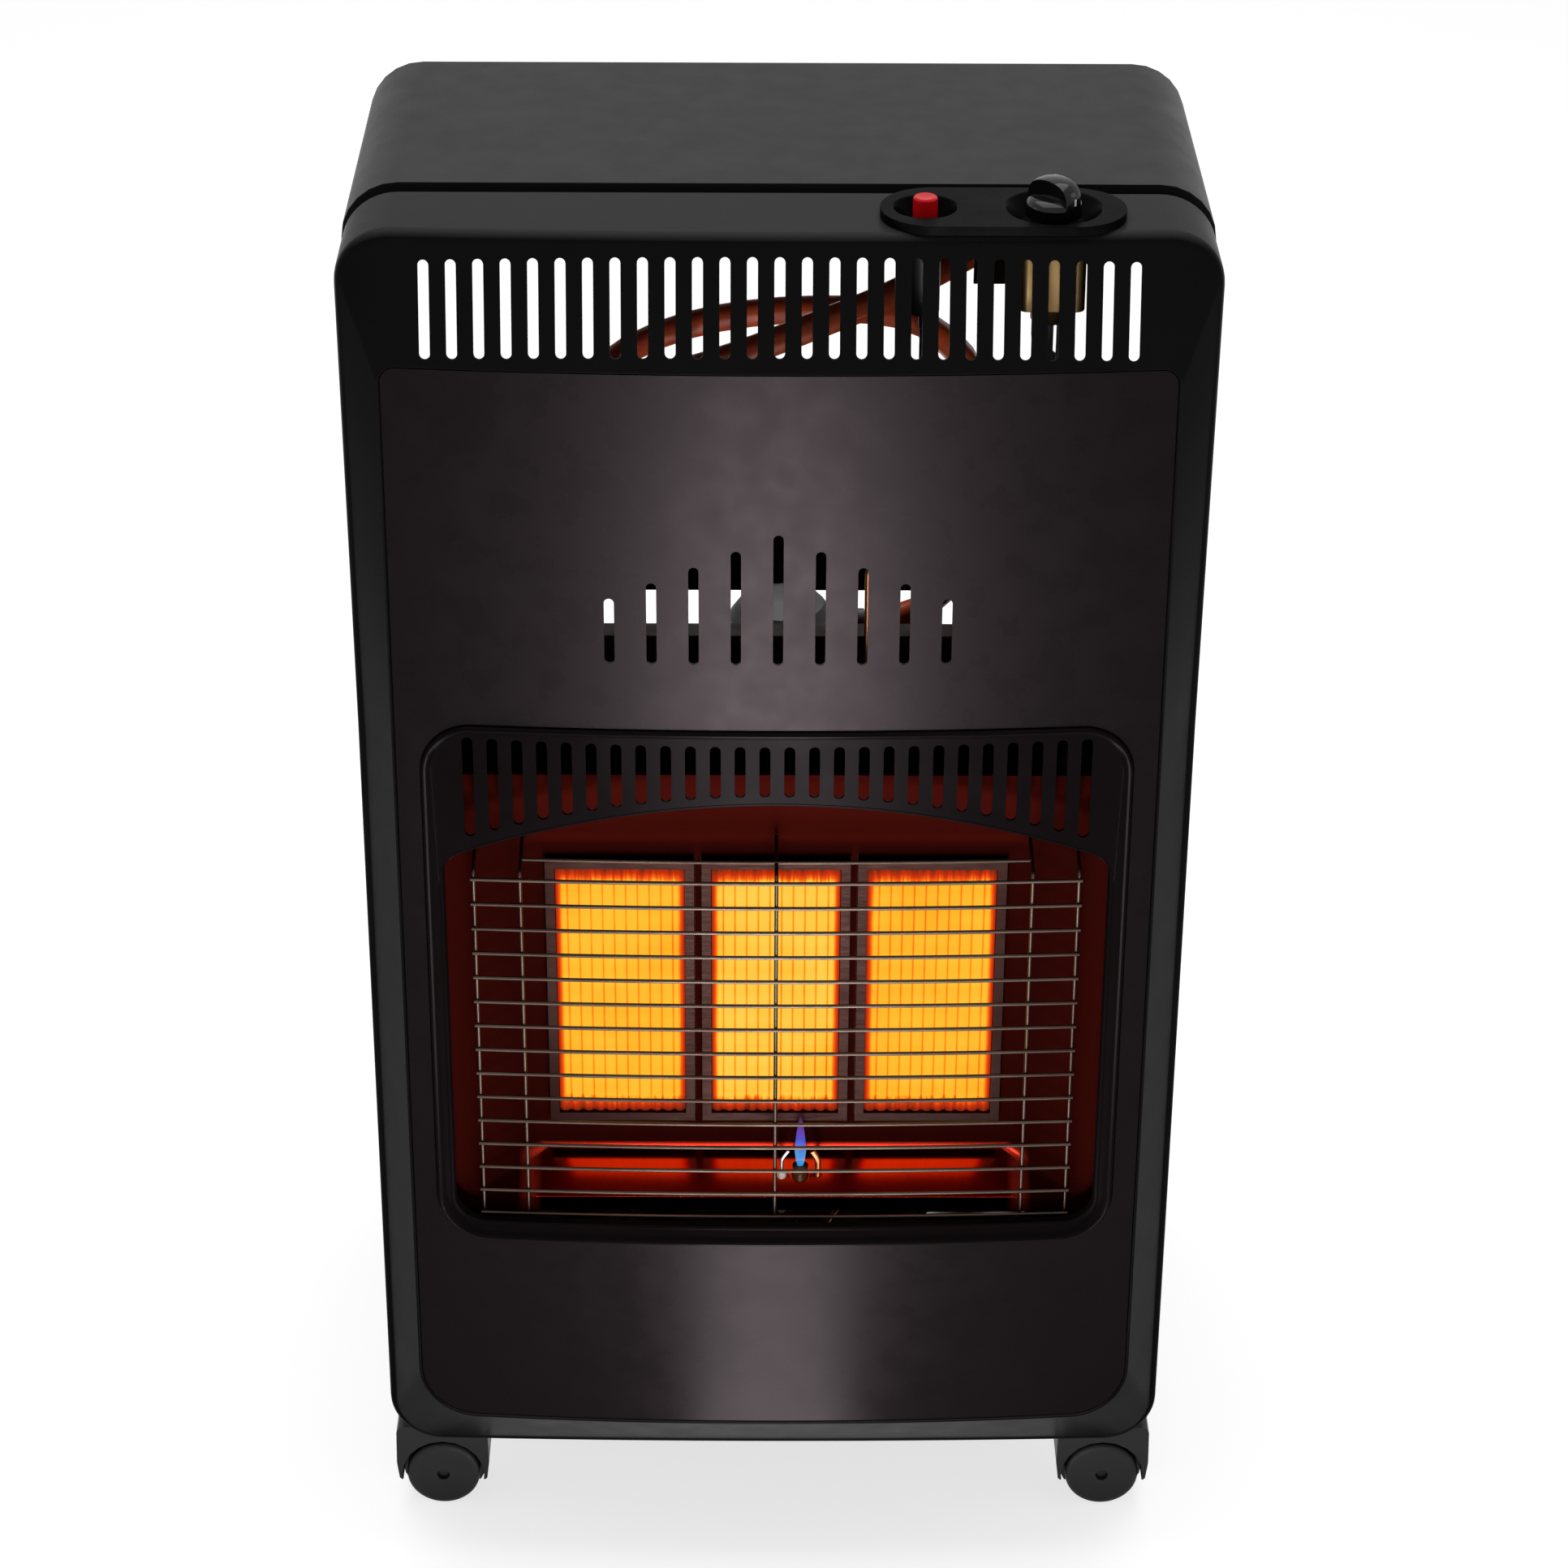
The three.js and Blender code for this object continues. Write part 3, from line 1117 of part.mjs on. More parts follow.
function castorFork(stemX, side, y) {
  const x = stemX + side * TRAIL;
  const width = 2 * WHEEL_WIDTH + HOOD_WEB + 2;
  const crown = alongY(hoodOutline(x), y - width / 2, y + width / 2);
  const shell = cut(crown, lying(
    [[0, y - width], [ARCH_RADIUS, y - width], [ARCH_RADIUS, y + width], [0, y + width]],
    x, WHEEL_RADIUS, 20,
  ));
  const web = lying(
    [[0, y - HOOD_WEB / 2], [ARCH_RADIUS + 0.5, y - HOOD_WEB / 2], [ARCH_RADIUS + 0.5, y + HOOD_WEB / 2],
      [0, y + HOOD_WEB / 2]],
    x, WHEEL_RADIUS, 20,
  ).intersect(block(
    x - 2 * WHEEL_RADIUS, x + 2 * WHEEL_RADIUS, y - WHEEL_RADIUS, y + WHEEL_RADIUS, 8, HOOD_TOP,
  ));
  const stem = rod(STEM_RADIUS, HOOD_TOP - 8, STEM_TOP, stemX, y, 10);
  const bore = lying(
    [[0, y - 30], [AXLE_RADIUS + GAP, y - 30], [AXLE_RADIUS + GAP, y + 30], [0, y + 30]], x, WHEEL_RADIUS, 8,
  );
  return cut(join(shell, web, stem), bore);
}

function castorWheel(x, y) {
  const half = WHEEL_WIDTH / 2;
  const r = WHEEL_RADIUS;
  return cut(
    lying(
      [[0, y - half], [r - WHEEL_ROUND, y - half], [r, y - half + WHEEL_ROUND],
        [r, y + half - WHEEL_ROUND], [r - WHEEL_ROUND, y + half], [0, y + half]],
      x, r, 20,
    ),
    lying(
      [[0, y - 20], [AXLE_RADIUS + GAP, y - 20], [AXLE_RADIUS + GAP, y + 20], [0, y + 20]], x, r, 8,
    ),
  );
}

function castorAxle(x, y) {
  const reach = HOOD_WEB / 2 + 1 + WHEEL_WIDTH - 2;
  return lying(
    [[0, y - reach], [AXLE_RADIUS, y - reach], [AXLE_RADIUS, y + reach], [0, y + reach]], x, WHEEL_RADIUS, 8,
  );
}

// ---------------------------------------------------------------- assembly
part('front_frame', frontFrame(), CHARCOAL());
part('front_panel', frontPanel(), ANTHRACITE());
part('burner_surround', burnerSurround(), ANTHRACITE());
part('guard_grille', guard(), WIRE());
part('reflector', reflector(), BRIGHT());
for (let i = 0; i < PLAQUES; i += 1) {
  part(`burner_head_${i + 1}`, burnerHead(headX(i)), GALVANISED());
  part(`ceramic_plaque_${i + 1}`, plaque(headX(i)), CERAMIC());
  part(`gas_pipe_${i + 1}`, gasPipe(i), BRASS());
}
part('burner_chamber', burnerChamber(), GALVANISED());
part('control_bezel', controlBezel(), BLACK());
part('control_knob', controlKnob(), BLACK());
part('igniter_button', igniterButton(), RED());
part('valve_plate', valvePlate(), GALVANISED());
part('gas_valve', gasValve(), BRASS());
part('valve_spindle', valveSpindle(), GALVANISED());
part('piezo_igniter', piezo(), BLACK());
part('pilot_burner', pilotBurner(), BRASS());
part('thermocouple', probe(PROBE.x, PROBE.radius, PILOT_LOW - 2, PILOT.x + 6), BRASS());
part('electrode_insulator', insulator(), WHITE());
part('spark_electrode', probe(ELECTRODE.x, ELECTRODE.wire, PILOT_LOW - 2, PILOT.x - 6), GALVANISED());
part('igniter_lead', igniterLead(), BLACK());
part('thermocouple_lead', thermocoupleLead(), BRASS());
part('gas_hose', gasHose(), ORANGE());
part('regulator', regulator(), GREY());
part('regulator_bracket', regulatorBracket(), GALVANISED());
part('rear_cross_rail', crossRail(), CHARCOAL());
part('cabinet_shell', cabinetShell(), CHARCOAL());
part('base_tray', baseTray(), CHARCOAL());
CASTORS.forEach(([place, side, y]) => {
  const stemX = side * CASTOR_X;
  const x = stemX + side * TRAIL;
  const offset = HOOD_WEB / 2 + 1 + WHEEL_WIDTH / 2;
  part(`castor_socket_${place}`, castorSocket(stemX, y), GALVANISED());
  part(`castor_fork_${place}`, castorFork(stemX, side, y), BLACK());
  part(`castor_axle_${place}`, castorAxle(x, y), GALVANISED());
  part(`castor_wheel_outer_${place}`, castorWheel(x, y - offset), BLACK());
  part(`castor_wheel_inner_${place}`, castorWheel(x, y + offset), BLACK());
});

heater.position.y = -(REAR_Y + FRONT_Y) / 2;

export default heater;
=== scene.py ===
"""Looks of a portable gas cabinet heater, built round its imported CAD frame. Metres, +Z up, front faces -Y."""

import math

import bmesh
import bpy
from mathutils import Matrix, Vector


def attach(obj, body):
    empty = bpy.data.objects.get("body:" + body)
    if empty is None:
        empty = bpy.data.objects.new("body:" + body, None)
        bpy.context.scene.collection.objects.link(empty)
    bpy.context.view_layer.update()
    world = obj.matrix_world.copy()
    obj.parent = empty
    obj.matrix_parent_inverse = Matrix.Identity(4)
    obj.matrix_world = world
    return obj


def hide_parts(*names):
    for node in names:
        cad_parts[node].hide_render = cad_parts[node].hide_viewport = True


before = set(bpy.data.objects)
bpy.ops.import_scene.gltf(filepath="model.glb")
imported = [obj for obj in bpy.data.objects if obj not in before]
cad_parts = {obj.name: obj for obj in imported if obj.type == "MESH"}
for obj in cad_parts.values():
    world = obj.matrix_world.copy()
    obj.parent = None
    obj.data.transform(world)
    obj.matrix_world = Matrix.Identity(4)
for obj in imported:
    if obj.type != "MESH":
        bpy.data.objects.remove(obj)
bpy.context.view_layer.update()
MM = 0.001

# ---------------------------------------------------------------- sizes, millimetres, as in the part
BEND_Y = -145.0  # the plane of the front frame's side edge, in the row frame
WIDTH = 404.0
HEIGHT = 738.5
FLOOR_Z = 53.5
CORNER = 27.0
FRAME_HALF = WIDTH / 2 - 1
FRAME_TOP = HEIGHT - 1
BOW = 8.8
FACE_Y = -29.6
PANEL_HALF = 181.0
PANEL_LOW = 93.5
PANEL_HIGH = FRAME_TOP - 60.5
SHEET = 1.2
PRESSING = 1.5
BURNER_HALF, BURNER_LOW, BURNER_HIGH, BURNER_CORNER = 169.0, 204.0, 496.0, 25.0
MOUTH_HALF, MOUTH_LOW, ARCH_CROWN, ARCH_FALL = 161.0, 213.0, 457.0, 31.0
LIP = 1.6
KNOB_X, BUTTON_X, CONTROL_Y = 123.5, 65.5, 4.0
KNOB_RADIUS, KNOB_RIM, KNOB_WELL, KNOB_LOW, KNOB_HEIGHT = 12.8, 22.0, 16.0, 738.0, 18.0
BUTTON_RADIUS, BUTTON_RIM, BUTTON_WELL = 5.6, 14.5, 10.0
BEZEL_LOW, BEZEL_TOP, WELL_FLOOR = 737.8, 742.0, 733.0
PLAQUE_PITCH, PLAQUE_HALF, PLAQUE_LOW, PLAQUE_HIGH = 77.0, 31.7, 253.5, 395.0
PILOT_X, PILOT_Y = 13.0, -2.0
GUARD_RADIUS = 0.95
CASTOR_X, TRAIL, WHEEL_R = 164.0, 12.0, 19.4
CASTORS = {"front_left": (-1, 27), "front_right": (1, 27), "rear_left": (-1, 300), "rear_right": (1, 300)}


# ---------------------------------------------------------------- meshes
def place(x, y, z):
    """A point of the part's own drawing, in millimetres from the bend, as metres in the row frame."""
    return Vector((x * MM, (y + BEND_Y) * MM, z * MM))


def shade(obj, angle=32):
    """Smooth faces, with edges sharper than angle kept crisp."""
    bm = bmesh.new()
    bm.from_mesh(obj.data)
    bmesh.ops.recalc_face_normals(bm, faces=bm.faces)
    limit = math.radians(angle)
    for face in bm.faces:
        face.smooth = True
    for edge in bm.edges:
        edge.smooth = len(edge.link_faces) == 2 and edge.calc_face_angle(0) < limit
    bm.to_mesh(obj.data)
    bm.free()
    return obj


def mesh_object(name, points, faces):
    """Meets points that coincide and turns every face outwards, as the booleans need."""
    bm = bmesh.new()
    verts = [bm.verts.new(p) for p in points]
    for face in faces:
        bm.faces.new([verts[i] for i in face])
    bmesh.ops.remove_doubles(bm, verts=bm.verts, dist=1e-6)
    bmesh.ops.dissolve_degenerate(bm, edges=bm.edges, dist=1e-7)
    bmesh.ops.recalc_face_normals(bm, faces=bm.faces)
    mesh = bpy.data.meshes.new(name)
    bm.to_mesh(mesh)
    bm.free()
    obj = bpy.data.objects.new(name, mesh)
    bpy.context.scene.collection.objects.link(obj)
    return obj


def loft(name, rings, ends=False):
    """Skins equal closed rings of points. The last joins the first, or with ends both are capped."""
    count = len(rings[0])
    points = [p for ring in rings for p in ring]
    faces = []
    spans = len(rings) - 1 if ends else len(rings)
    for r in range(spans):
        low, high = r * count, ((r + 1) % len(rings)) * count
        for i in range(count):
            j = (i + 1) % count
            faces.append((low + i, low + j, high + j, high + i))
    if ends:
        faces.append(tuple(range(count)))
        faces.append(tuple(range(len(points) - count, len(points))))
    return mesh_object(name, points, faces)


def prism(name, outline, low, high, axis="y"):
    """An outline drawn out along an axis: (x, z) pairs along y, (y, z) along x, (x, y) along z."""
    spread = {
        "x": lambda a, b, t: place(t, a, b),
        "y": lambda a, b, t: place(a, t, b),
        "z": lambda a, b, t: place(a, b, t),
    }
    rings = [[spread[axis](a, b, t) for a, b in outline] for t in (low, high)]
    return loft(name, rings, ends=True)


def lathe(name, profile, centre, axis="z", steps=48):
    """A (radius, height) profile turned about an axis through centre, in millimetres."""
    turned = []
    for k in range(steps):
        angle = 2 * math.pi * k / steps
        c, s = math.cos(angle), math.sin(angle)
        for radius, height in profile:
            offset = {
                "x": (height, radius * c, radius * s),
                "y": (radius * c, height, radius * s),
                "z": (radius * c, radius * s, height),
            }[axis]
            turned.append(place(centre[0] + offset[0], centre[1] + offset[1], centre[2] + offset[2]))
    count = len(profile)
    faces = []
    for k in range(steps):
        here, there = k * count, ((k + 1) % steps) * count
        for i in range(count - 1):
            faces.append((here + i, here + i + 1, there + i + 1, there + i))
    return mesh_object(name, turned, faces)


def rod(name, radius, low, high, x, y, steps=64):
    return lathe(name, [(0, low), (radius, low), (radius, high), (0, high)], (x, y, 0), steps=steps)


def apply_modifiers(obj):
    depsgraph = bpy.context.evaluated_depsgraph_get()
    mesh = bpy.data.meshes.new_from_object(obj.evaluated_get(depsgraph))
    obj.modifiers.clear()
    obj.data = mesh
    return obj


def cut(obj, cutters, operation="DIFFERENCE"):
    """Booleans the cutters off obj, or onto it, as one mesh, and throws them away."""
    cutter = merged("cutter", cutters)
    modifier = obj.modifiers.new("cut", "BOOLEAN")
    modifier.operation = operation
    modifier.solver = "EXACT"
    modifier.object = cutter
    apply_modifiers(obj)
    bpy.data.objects.remove(cutter)
    return obj


def merged(name, objects):
    """One object from several that don't cross."""
    bm = bmesh.new()
    for obj in objects:
        bm.from_mesh(obj.data)
        bpy.data.objects.remove(obj)
    mesh = bpy.data.meshes.new(name)
    bm.to_mesh(mesh)
    bm.free()
    joined = bpy.data.objects.new(name, mesh)
    bpy.context.scene.collection.objects.link(joined)
    return joined


def bevelled(obj, width, segments=2, angle=35):
    modifier = obj.modifiers.new("bevel", "BEVEL")
    modifier.width = width * MM
    modifier.segments = segments
    modifier.limit_method = "ANGLE"
    modifier.angle_limit = math.radians(angle)
    modifier.use_clamp_overlap = True
    return apply_modifiers(obj)


def wire(name, points, radius, sides=4, smooth=True):
    """A round wire or pipe along points, in millimetres of the part's drawing."""
    curve = bpy.data.curves.new(name, "CURVE")
    curve.dimensions = "3D"
    curve.bevel_depth = radius * MM
    curve.bevel_resolution = sides
    curve.use_fill_caps = True
    curve.resolution_u = 10
    spline = curve.splines.new("BEZIER" if smooth else "POLY")
    handles = spline.bezier_points if smooth else spline.points
    handles.add(len(points) - 1)
    for handle, point in zip(handles, points):
        co = place(*point)
        handle.co = co if smooth else (*co, 1)
        if smooth:
            handle.handle_left_type = handle.handle_right_type = "AUTO"
    obj = bpy.data.objects.new(name, curve)
    bpy.context.scene.collection.objects.link(obj)
    solid = bpy.data.objects.new(name, bpy.data.meshes.new_from_object(obj))
    bpy.data.objects.remove(obj)
    bpy.context.scene.collection.objects.link(solid)
    return solid


def rounded_corner(a, b, c, radius, steps=5):
    """Points of a bend of that radius at b, between a and c."""
    a, b, c = Vector(a), Vector(b), Vector(c)
    start = b + (a - b).normalized() * radius
    end = b + (c - b).normalized() * radius
    bend = []
    for i in range(steps + 1):
        t = i / steps
        bend.append(tuple(start * (1 - t) ** 2 + b * 2 * t * (1 - t) + end * t**2))
    return bend


def bent(points, radius):
    route = [points[0]]
    for a, b, c in zip(points, points[1:], points[2:]):
        route += rounded_corner(a, b, c, radius)
    return route + [points[-1]]


def outline(half, low, high, low_radius, high_radius, edge=36, side=30, corner=12):
    """A rounded rectangle in x and z, anticlockwise from its lower left, in equal counts."""
    points = []

    def run(x0, z0, x1, z1, steps):
        points.extend((x0 + (x1 - x0) * i / steps, z0 + (z1 - z0) * i / steps) for i in range(steps))

    def turn(x, z, radius, start):
        for i in range(corner):
            angle = start + i / corner * math.pi / 2
            points.append((x + math.cos(angle) * radius, z + math.sin(angle) * radius))

    run(-half + low_radius, low, half - low_radius, low, edge)
    turn(half - low_radius, low + low_radius, low_radius, -math.pi / 2)
    run(half, low + low_radius, half, high - high_radius, side)
    turn(half - high_radius, high - high_radius, high_radius, 0)
    run(half - high_radius, high, -half + high_radius, high, edge)
    turn(-half + high_radius, high - high_radius, high_radius, math.pi / 2)
    run(-half, high - high_radius, -half, low + low_radius, side)
    turn(-half + low_radius, low + low_radius, low_radius, math.pi)
    return points


def slot_outline(x, low, high, width, steps=8):
    radius = width / 2
    angles = [math.pi * i / steps for i in range(steps + 1)]
    top = [(x + radius * math.cos(a), high - radius + radius * math.sin(a)) for a in angles]
    bottom = [(x - radius * math.cos(a), low + radius - radius * math.sin(a)) for a in angles]
    return top + bottom


# ---------------------------------------------------------------- materials
class Material:
    """A Principled material whose colour, roughness and bump come from procedural noise."""

    def __init__(self, name, colour, roughness, metallic=0.0, **sockets):
        self.data = bpy.data.materials.new(name)
        self.data.use_nodes = True
        self.tree = self.data.node_tree
        self.shader = self.tree.nodes["Principled BSDF"]
        self.shader.inputs["Base Color"].default_value = (*colour, 1)
        self.shader.inputs["Roughness"].default_value = roughness
        self.shader.inputs["Metallic"].default_value = metallic
        for socket, value in sockets.items():
            self.shader.inputs[socket.replace("_", " ")].default_value = value
        self.colour = colour
        self.roughness = roughness
        self.height = None
        self.where = self.node("ShaderNodeTexCoord").outputs["Object"]

    def node(self, kind, **values):
        node = self.tree.nodes.new(kind)
        for key, value in values.items():
            setattr(node, key, value)
        return node

    def link(self, source, target):
        self.tree.links.new(source, target)

    def noise(self, scale, detail=3.0, stretch=(1, 1, 1), roughness=0.55):
        mapping = self.node("ShaderNodeMapping")
        mapping.inputs["Scale"].default_value = stretch
        self.link(self.where, mapping.inputs["Vector"])
        noise = self.node("ShaderNodeTexNoise")
        noise.inputs["Scale"].default_value = scale
        noise.inputs["Detail"].default_value = detail
        noise.inputs["Roughness"].default_value = roughness
        self.link(mapping.outputs["Vector"], noise.inputs["Vector"])
        return noise.outputs["Fac"]

    def spread(self, source, low, high, out_low, out_high):
        node = self.node("ShaderNodeMapRange")
        for name, value in (("From Min", low), ("From Max", high), ("To Min", out_low), ("To Max", out_high)):
            node.inputs[name].default_value = value
        self.link(source, node.inputs["Value"])
        return node.outputs["Result"]

    def mottle(self, other, scale, low=0.4, high=0.65, **noise):
        """Colour drifts between the material's own and another."""
        mix = self.node("ShaderNodeMix", data_type="RGBA")
        mix.inputs["A"].default_value = (*self.colour, 1)
        mix.inputs["B"].default_value = (*other, 1)
        self.link(self.spread(self.noise(scale, **noise), low, high, 0, 1), mix.inputs["Factor"])
        self.link(mix.outputs["Result"], self.shader.inputs["Base Color"])
        self.mix = mix
        return self

    def painted_top_light(self, colour):
        """Painted light: a paler colour on what faces up, standing for light falling from above, over the
        mottled colour.
        """
        axes = self.node("ShaderNodeSeparateXYZ")
        self.link(self.node("ShaderNodeNewGeometry").outputs["Normal"], axes.inputs["Vector"])
        mix = self.node("ShaderNodeMix", data_type="RGBA")
        mix.inputs["B"].default_value = (*colour, 1)
        self.link(self.spread(axes.outputs["Z"], 0.55, 0.97, 0, 1), mix.inputs["Factor"])
        self.link(self.mix.outputs["Result"], mix.inputs["A"])
        self.link(mix.outputs["Result"], self.shader.inputs["Base Color"])

    def gloss(self, scale, amount, **noise):
        """Roughness wanders by amount around its own value."""
        low, high = self.roughness - amount, self.roughness + amount
        value = self.spread(self.noise(scale, **noise), 0.3, 0.7, low, high)
        self.link(value, self.shader.inputs["Roughness"])
        return self

    def grain(self, scale, depth, **noise):
        """Adds a fine relief of that depth in millimetres."""
        bump = self.node("ShaderNodeBump")
        bump.inputs["Distance"].default_value = depth * MM
        bump.inputs["Strength"].default_value = 1.0
        self.link(self.noise(scale, **noise), bump.inputs["Height"])
        if self.height:
            self.link(self.height, bump.inputs["Normal"])
        self.height = bump.outputs["Normal"]
        self.link(self.height, self.shader.inputs["Normal"])
        return self


def powder(name, colour, worn, roughness, grain, shine, tint=(1, 1, 1), top_light=None):
    paint = Material(name, colour, roughness, Specular_IOR_Level=shine)
    paint.shader.inputs["Specular Tint"].default_value = (*tint, 1)
    paint.mottle(worn, 9, low=0.35, high=0.75, detail=5.0)
    # Painted light: faces that point up get the paler top_light colour, as if lit from above.
    if top_light:
        paint.painted_top_light(top_light)
    paint.gloss(60, 0.03)
    paint.grain(1600, grain, detail=2.0)
    return paint.grain(240, grain * 1.5, detail=1.0)


# The top_light colours below are painted light: upward faces are made paler as if lit from above.
CHARCOAL = powder(
    "charcoal_powder_coat", (0.0085, 0.0085, 0.0088), (0.0105, 0.0105, 0.0105), 0.42, 0.006, 0.08,
    top_light=(0.0095, 0.0095, 0.0095))
FRAME_CHARCOAL = powder(
    "front_frame_powder_coat", (0.0028, 0.0028, 0.0029), (0.0040, 0.0040, 0.0040), 0.30, 0.004, 0.010,
    top_light=(0.026, 0.026, 0.026))
ANTHRACITE = powder(
    "brown_anthracite_enamel", (0.0024, 0.0016, 0.0017), (0.0030, 0.0020, 0.0022), 0.28, 0.003, 0.055,
    (1.0, 0.80, 0.86))
SURROUND = powder(
    "dark_enamel", (0.0026, 0.0018, 0.0019), (0.0034, 0.0024, 0.0026), 0.24, 0.003, 0.014, (1.0, 0.84, 0.90))


def plastic(name, colour, roughness, grain=0.01, shine=0.5):
    material = Material(name, colour, roughness, Specular_IOR_Level=shine)
    material.mottle(tuple(c * 1.25 + 0.002 for c in colour), 35)
    material.gloss(150, 0.06)
    return material.grain(900, grain)


BLACK = plastic("moulded_black", (0.0065, 0.0065, 0.0068), 0.42, shine=0.25)
GLOSS_BLACK = plastic("gloss_black", (0.0020, 0.0020, 0.0021), 0.14, 0.001, 0.22)
RED = plastic("gloss_red", (0.46, 0.0006, 0.0035), 0.3, 0.003, 0.15)
BEZEL_BLACK = plastic("bezel_black", (0.0016, 0.0016, 0.0017), 0.28, 0.004, 0.008)
POINTER = plastic("pointer_white", (0.72, 0.72, 0.70), 0.4)
NYLON = plastic("castor_nylon", (0.016, 0.016, 0.0165), 0.5, 0.012, 0.2)
CERAMIC = plastic("glazed_ceramic", (0.62, 0.58, 0.50), 0.25, 0.01)
ORANGE = plastic("hose_rubber", (0.62, 0.085, 0.018), 0.42, 0.03)
GREY = plastic("cast_grey", (0.16, 0.165, 0.17), 0.5, 0.05)


def metal(name, colour, roughness, stretch=(1, 1, 12), other=None):
    material = Material(name, colour, roughness, 1.0)
    material.mottle(other or tuple(c * 0.75 for c in colour), 14, detail=5.0)
    material.gloss(90, 0.08, stretch=stretch, detail=4.0)
    return material.grain(500, 0.004, stretch=stretch, detail=3.0)


def polish(material, dull, floor, crown, half):
    """A red tinted mirror below floor and faintly above crown, dull with heat scale beside the heads."""
    axes = material.node("ShaderNodeSeparateXYZ")
    material.link(material.where, axes.inputs["Vector"])

    def maths(operation, a, b=None):
        node = material.node("ShaderNodeMath", operation=operation)
        material.link(a, node.inputs[0])
        if b:
            material.link(b, node.inputs[1])
        return node.outputs[0]

    under = material.spread(axes.outputs["Z"], floor * MM, (floor + 4) * MM, 1.0, 0.0)
    above = material.spread(axes.outputs["Z"], (crown - 4) * MM, crown * MM, 0.0, 0.02)
    between = material.spread(maths("ABSOLUTE", axes.outputs["X"]), half * MM, (half + 12) * MM, 1.0, 0.0)
    mirror = maths("MULTIPLY", maths("MAXIMUM", under, above), between)
    mix = material.node("ShaderNodeMix", data_type="RGBA")
    mix.inputs["A"].default_value = (*dull, 1)
    material.link(mirror, mix.inputs["Factor"])
    material.link(material.mix.outputs["Result"], mix.inputs["B"])
    material.link(mix.outputs["Result"], material.shader.inputs["Base Color"])
    material.link(mirror, material.shader.inputs["Metallic"])
    roughness = material.spread(mirror, 0.0, 1.0, 0.6, material.roughness)
    material.link(roughness, material.shader.inputs["Roughness"])
    return material


ZINC = metal("zinc_plate", (0.30, 0.31, 0.32), 0.5, stretch=(1, 1, 1))
SCALED = metal("heat_scaled_sheet", (0.020, 0.010, 0.0085), 0.6, stretch=(1, 1, 1))
REFLECTOR = Material("reflector_sheet", (0.60, 0.038, 0.018), 0.10, 1.0, Specular_IOR_Level=0.0)
REFLECTOR.mottle((0.50, 0.028, 0.012), 14, detail=4.0)
REFLECTOR.grain(90, 0.004, detail=2.0)
polish(REFLECTOR, (0.019, 0.0018, 0.0012), floor=229, crown=410, half=118)
HEAD = metal("head_steel", (0.013, 0.0065, 0.0055), 0.42, other=(0.009, 0.0035, 0.0030))
WIRE = metal("guard_wire", (0.062, 0.044, 0.036), 0.40, other=(0.040, 0.025, 0.020))
BRASS = metal("brass", (0.085, 0.055, 0.024), 0.42, stretch=(1, 1, 1))
ALUMINIUM = metal("drawn_aluminium", (0.45, 0.45, 0.46), 0.4)
COPPER = metal("drawn_copper", (0.40, 0.16, 0.07), 0.35)
STEEL = metal("plain_steel", (0.42, 0.42, 0.43), 0.34)
DARK_STEEL = metal("blackened_steel", (0.030, 0.030, 0.031), 0.5)


def finish(obj, material, body="cabinet", replaces=(), angle=32):
    obj.data.materials.clear()
    obj.data.materials.append(material.data)
    shade(obj, angle)
    weighted = obj.modifiers.new("weighted", "WEIGHTED_NORMAL")
    weighted.keep_sharp = True
    apply_modifiers(obj)
    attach(obj, body)
    if replaces:
        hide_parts(*replaces)
    return obj


def dress(node, material, body="cabinet", width=0.35, angle=32):
    """A CAD node's shape with eased edges and smooth rounds, standing for the node."""
    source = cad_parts[node]
    obj = bpy.data.objects.new(node + "_finished", source.data.copy())
    bpy.context.scene.collection.objects.link(obj)
    bm = bmesh.new()
    bm.from_mesh(obj.data)
    bmesh.ops.remove_doubles(bm, verts=bm.verts, dist=2e-5)
    bmesh.ops.dissolve_limit(bm, angle_limit=math.radians(1), verts=bm.verts, edges=bm.edges)
    bm.to_mesh(obj.data)
    bm.free()
    if obj.data.has_custom_normals:
        obj.data.normals_split_custom_set([(0, 0, 0)] * len(obj.data.loops))
    if width:
        bevelled(obj, width, angle=50)
    return finish(obj, material, body, [node], angle)


# ---------------------------------------------------------------- front frame and panel
def bulge(x, half):
    return 1 - (x / half) ** 2


def face_y(x):
    return FACE_Y - BOW * bulge(min(abs(x), PANEL_HALF), PANEL_HALF)


SWEEP_Z = 480.0


def rise(z):
    return max(0.0, (z - SWEEP_Z) / (FRAME_TOP - SWEEP_Z))


def bend_y(x, z):
    share = rise(z)
    bow = 4.0 + 2.4 * min(1.0, share * 3)
    return -17.0 * share - bow * bulge(x, FRAME_HALF)


def bend_ring(inset, rolled, thickness):
    """A ring round the frame's edge. rolled runs from 0 on the side wall to 1 on the front slope."""
    side = inset + 3.0 * (1 - math.cos(rolled * math.pi / 2))
    brow = inset + 7.0 * (1 - math.cos(rolled * math.pi / 2))
    points = outline(FRAME_HALF - side, FLOOR_Z + side, FRAME_TOP - brow, CORNER - side, CORNER - brow)
    ring = []
    for x, z in points:
        radius = 3.0 + 4.0 * rise(z)
        ring.append(place(x, bend_y(x, z) + radius * (1 - math.sin(rolled * math.pi / 2)) + thickness, z))
    return ring


def opening_ring(grow, back):
    points = outline(PANEL_HALF + grow, PANEL_LOW - grow, PANEL_HIGH + grow, 28 + grow, 7.5 + max(grow, -4))
    return [place(x, face_y(x) + back, z) for x, z in points]


def neck_ring(inset, y):
    points = outline(FRAME_HALF - inset, FLOOR_Z + inset, FRAME_TOP - inset, CORNER - inset, CORNER - inset)
    return [place(x, y, z) for x, z in points]


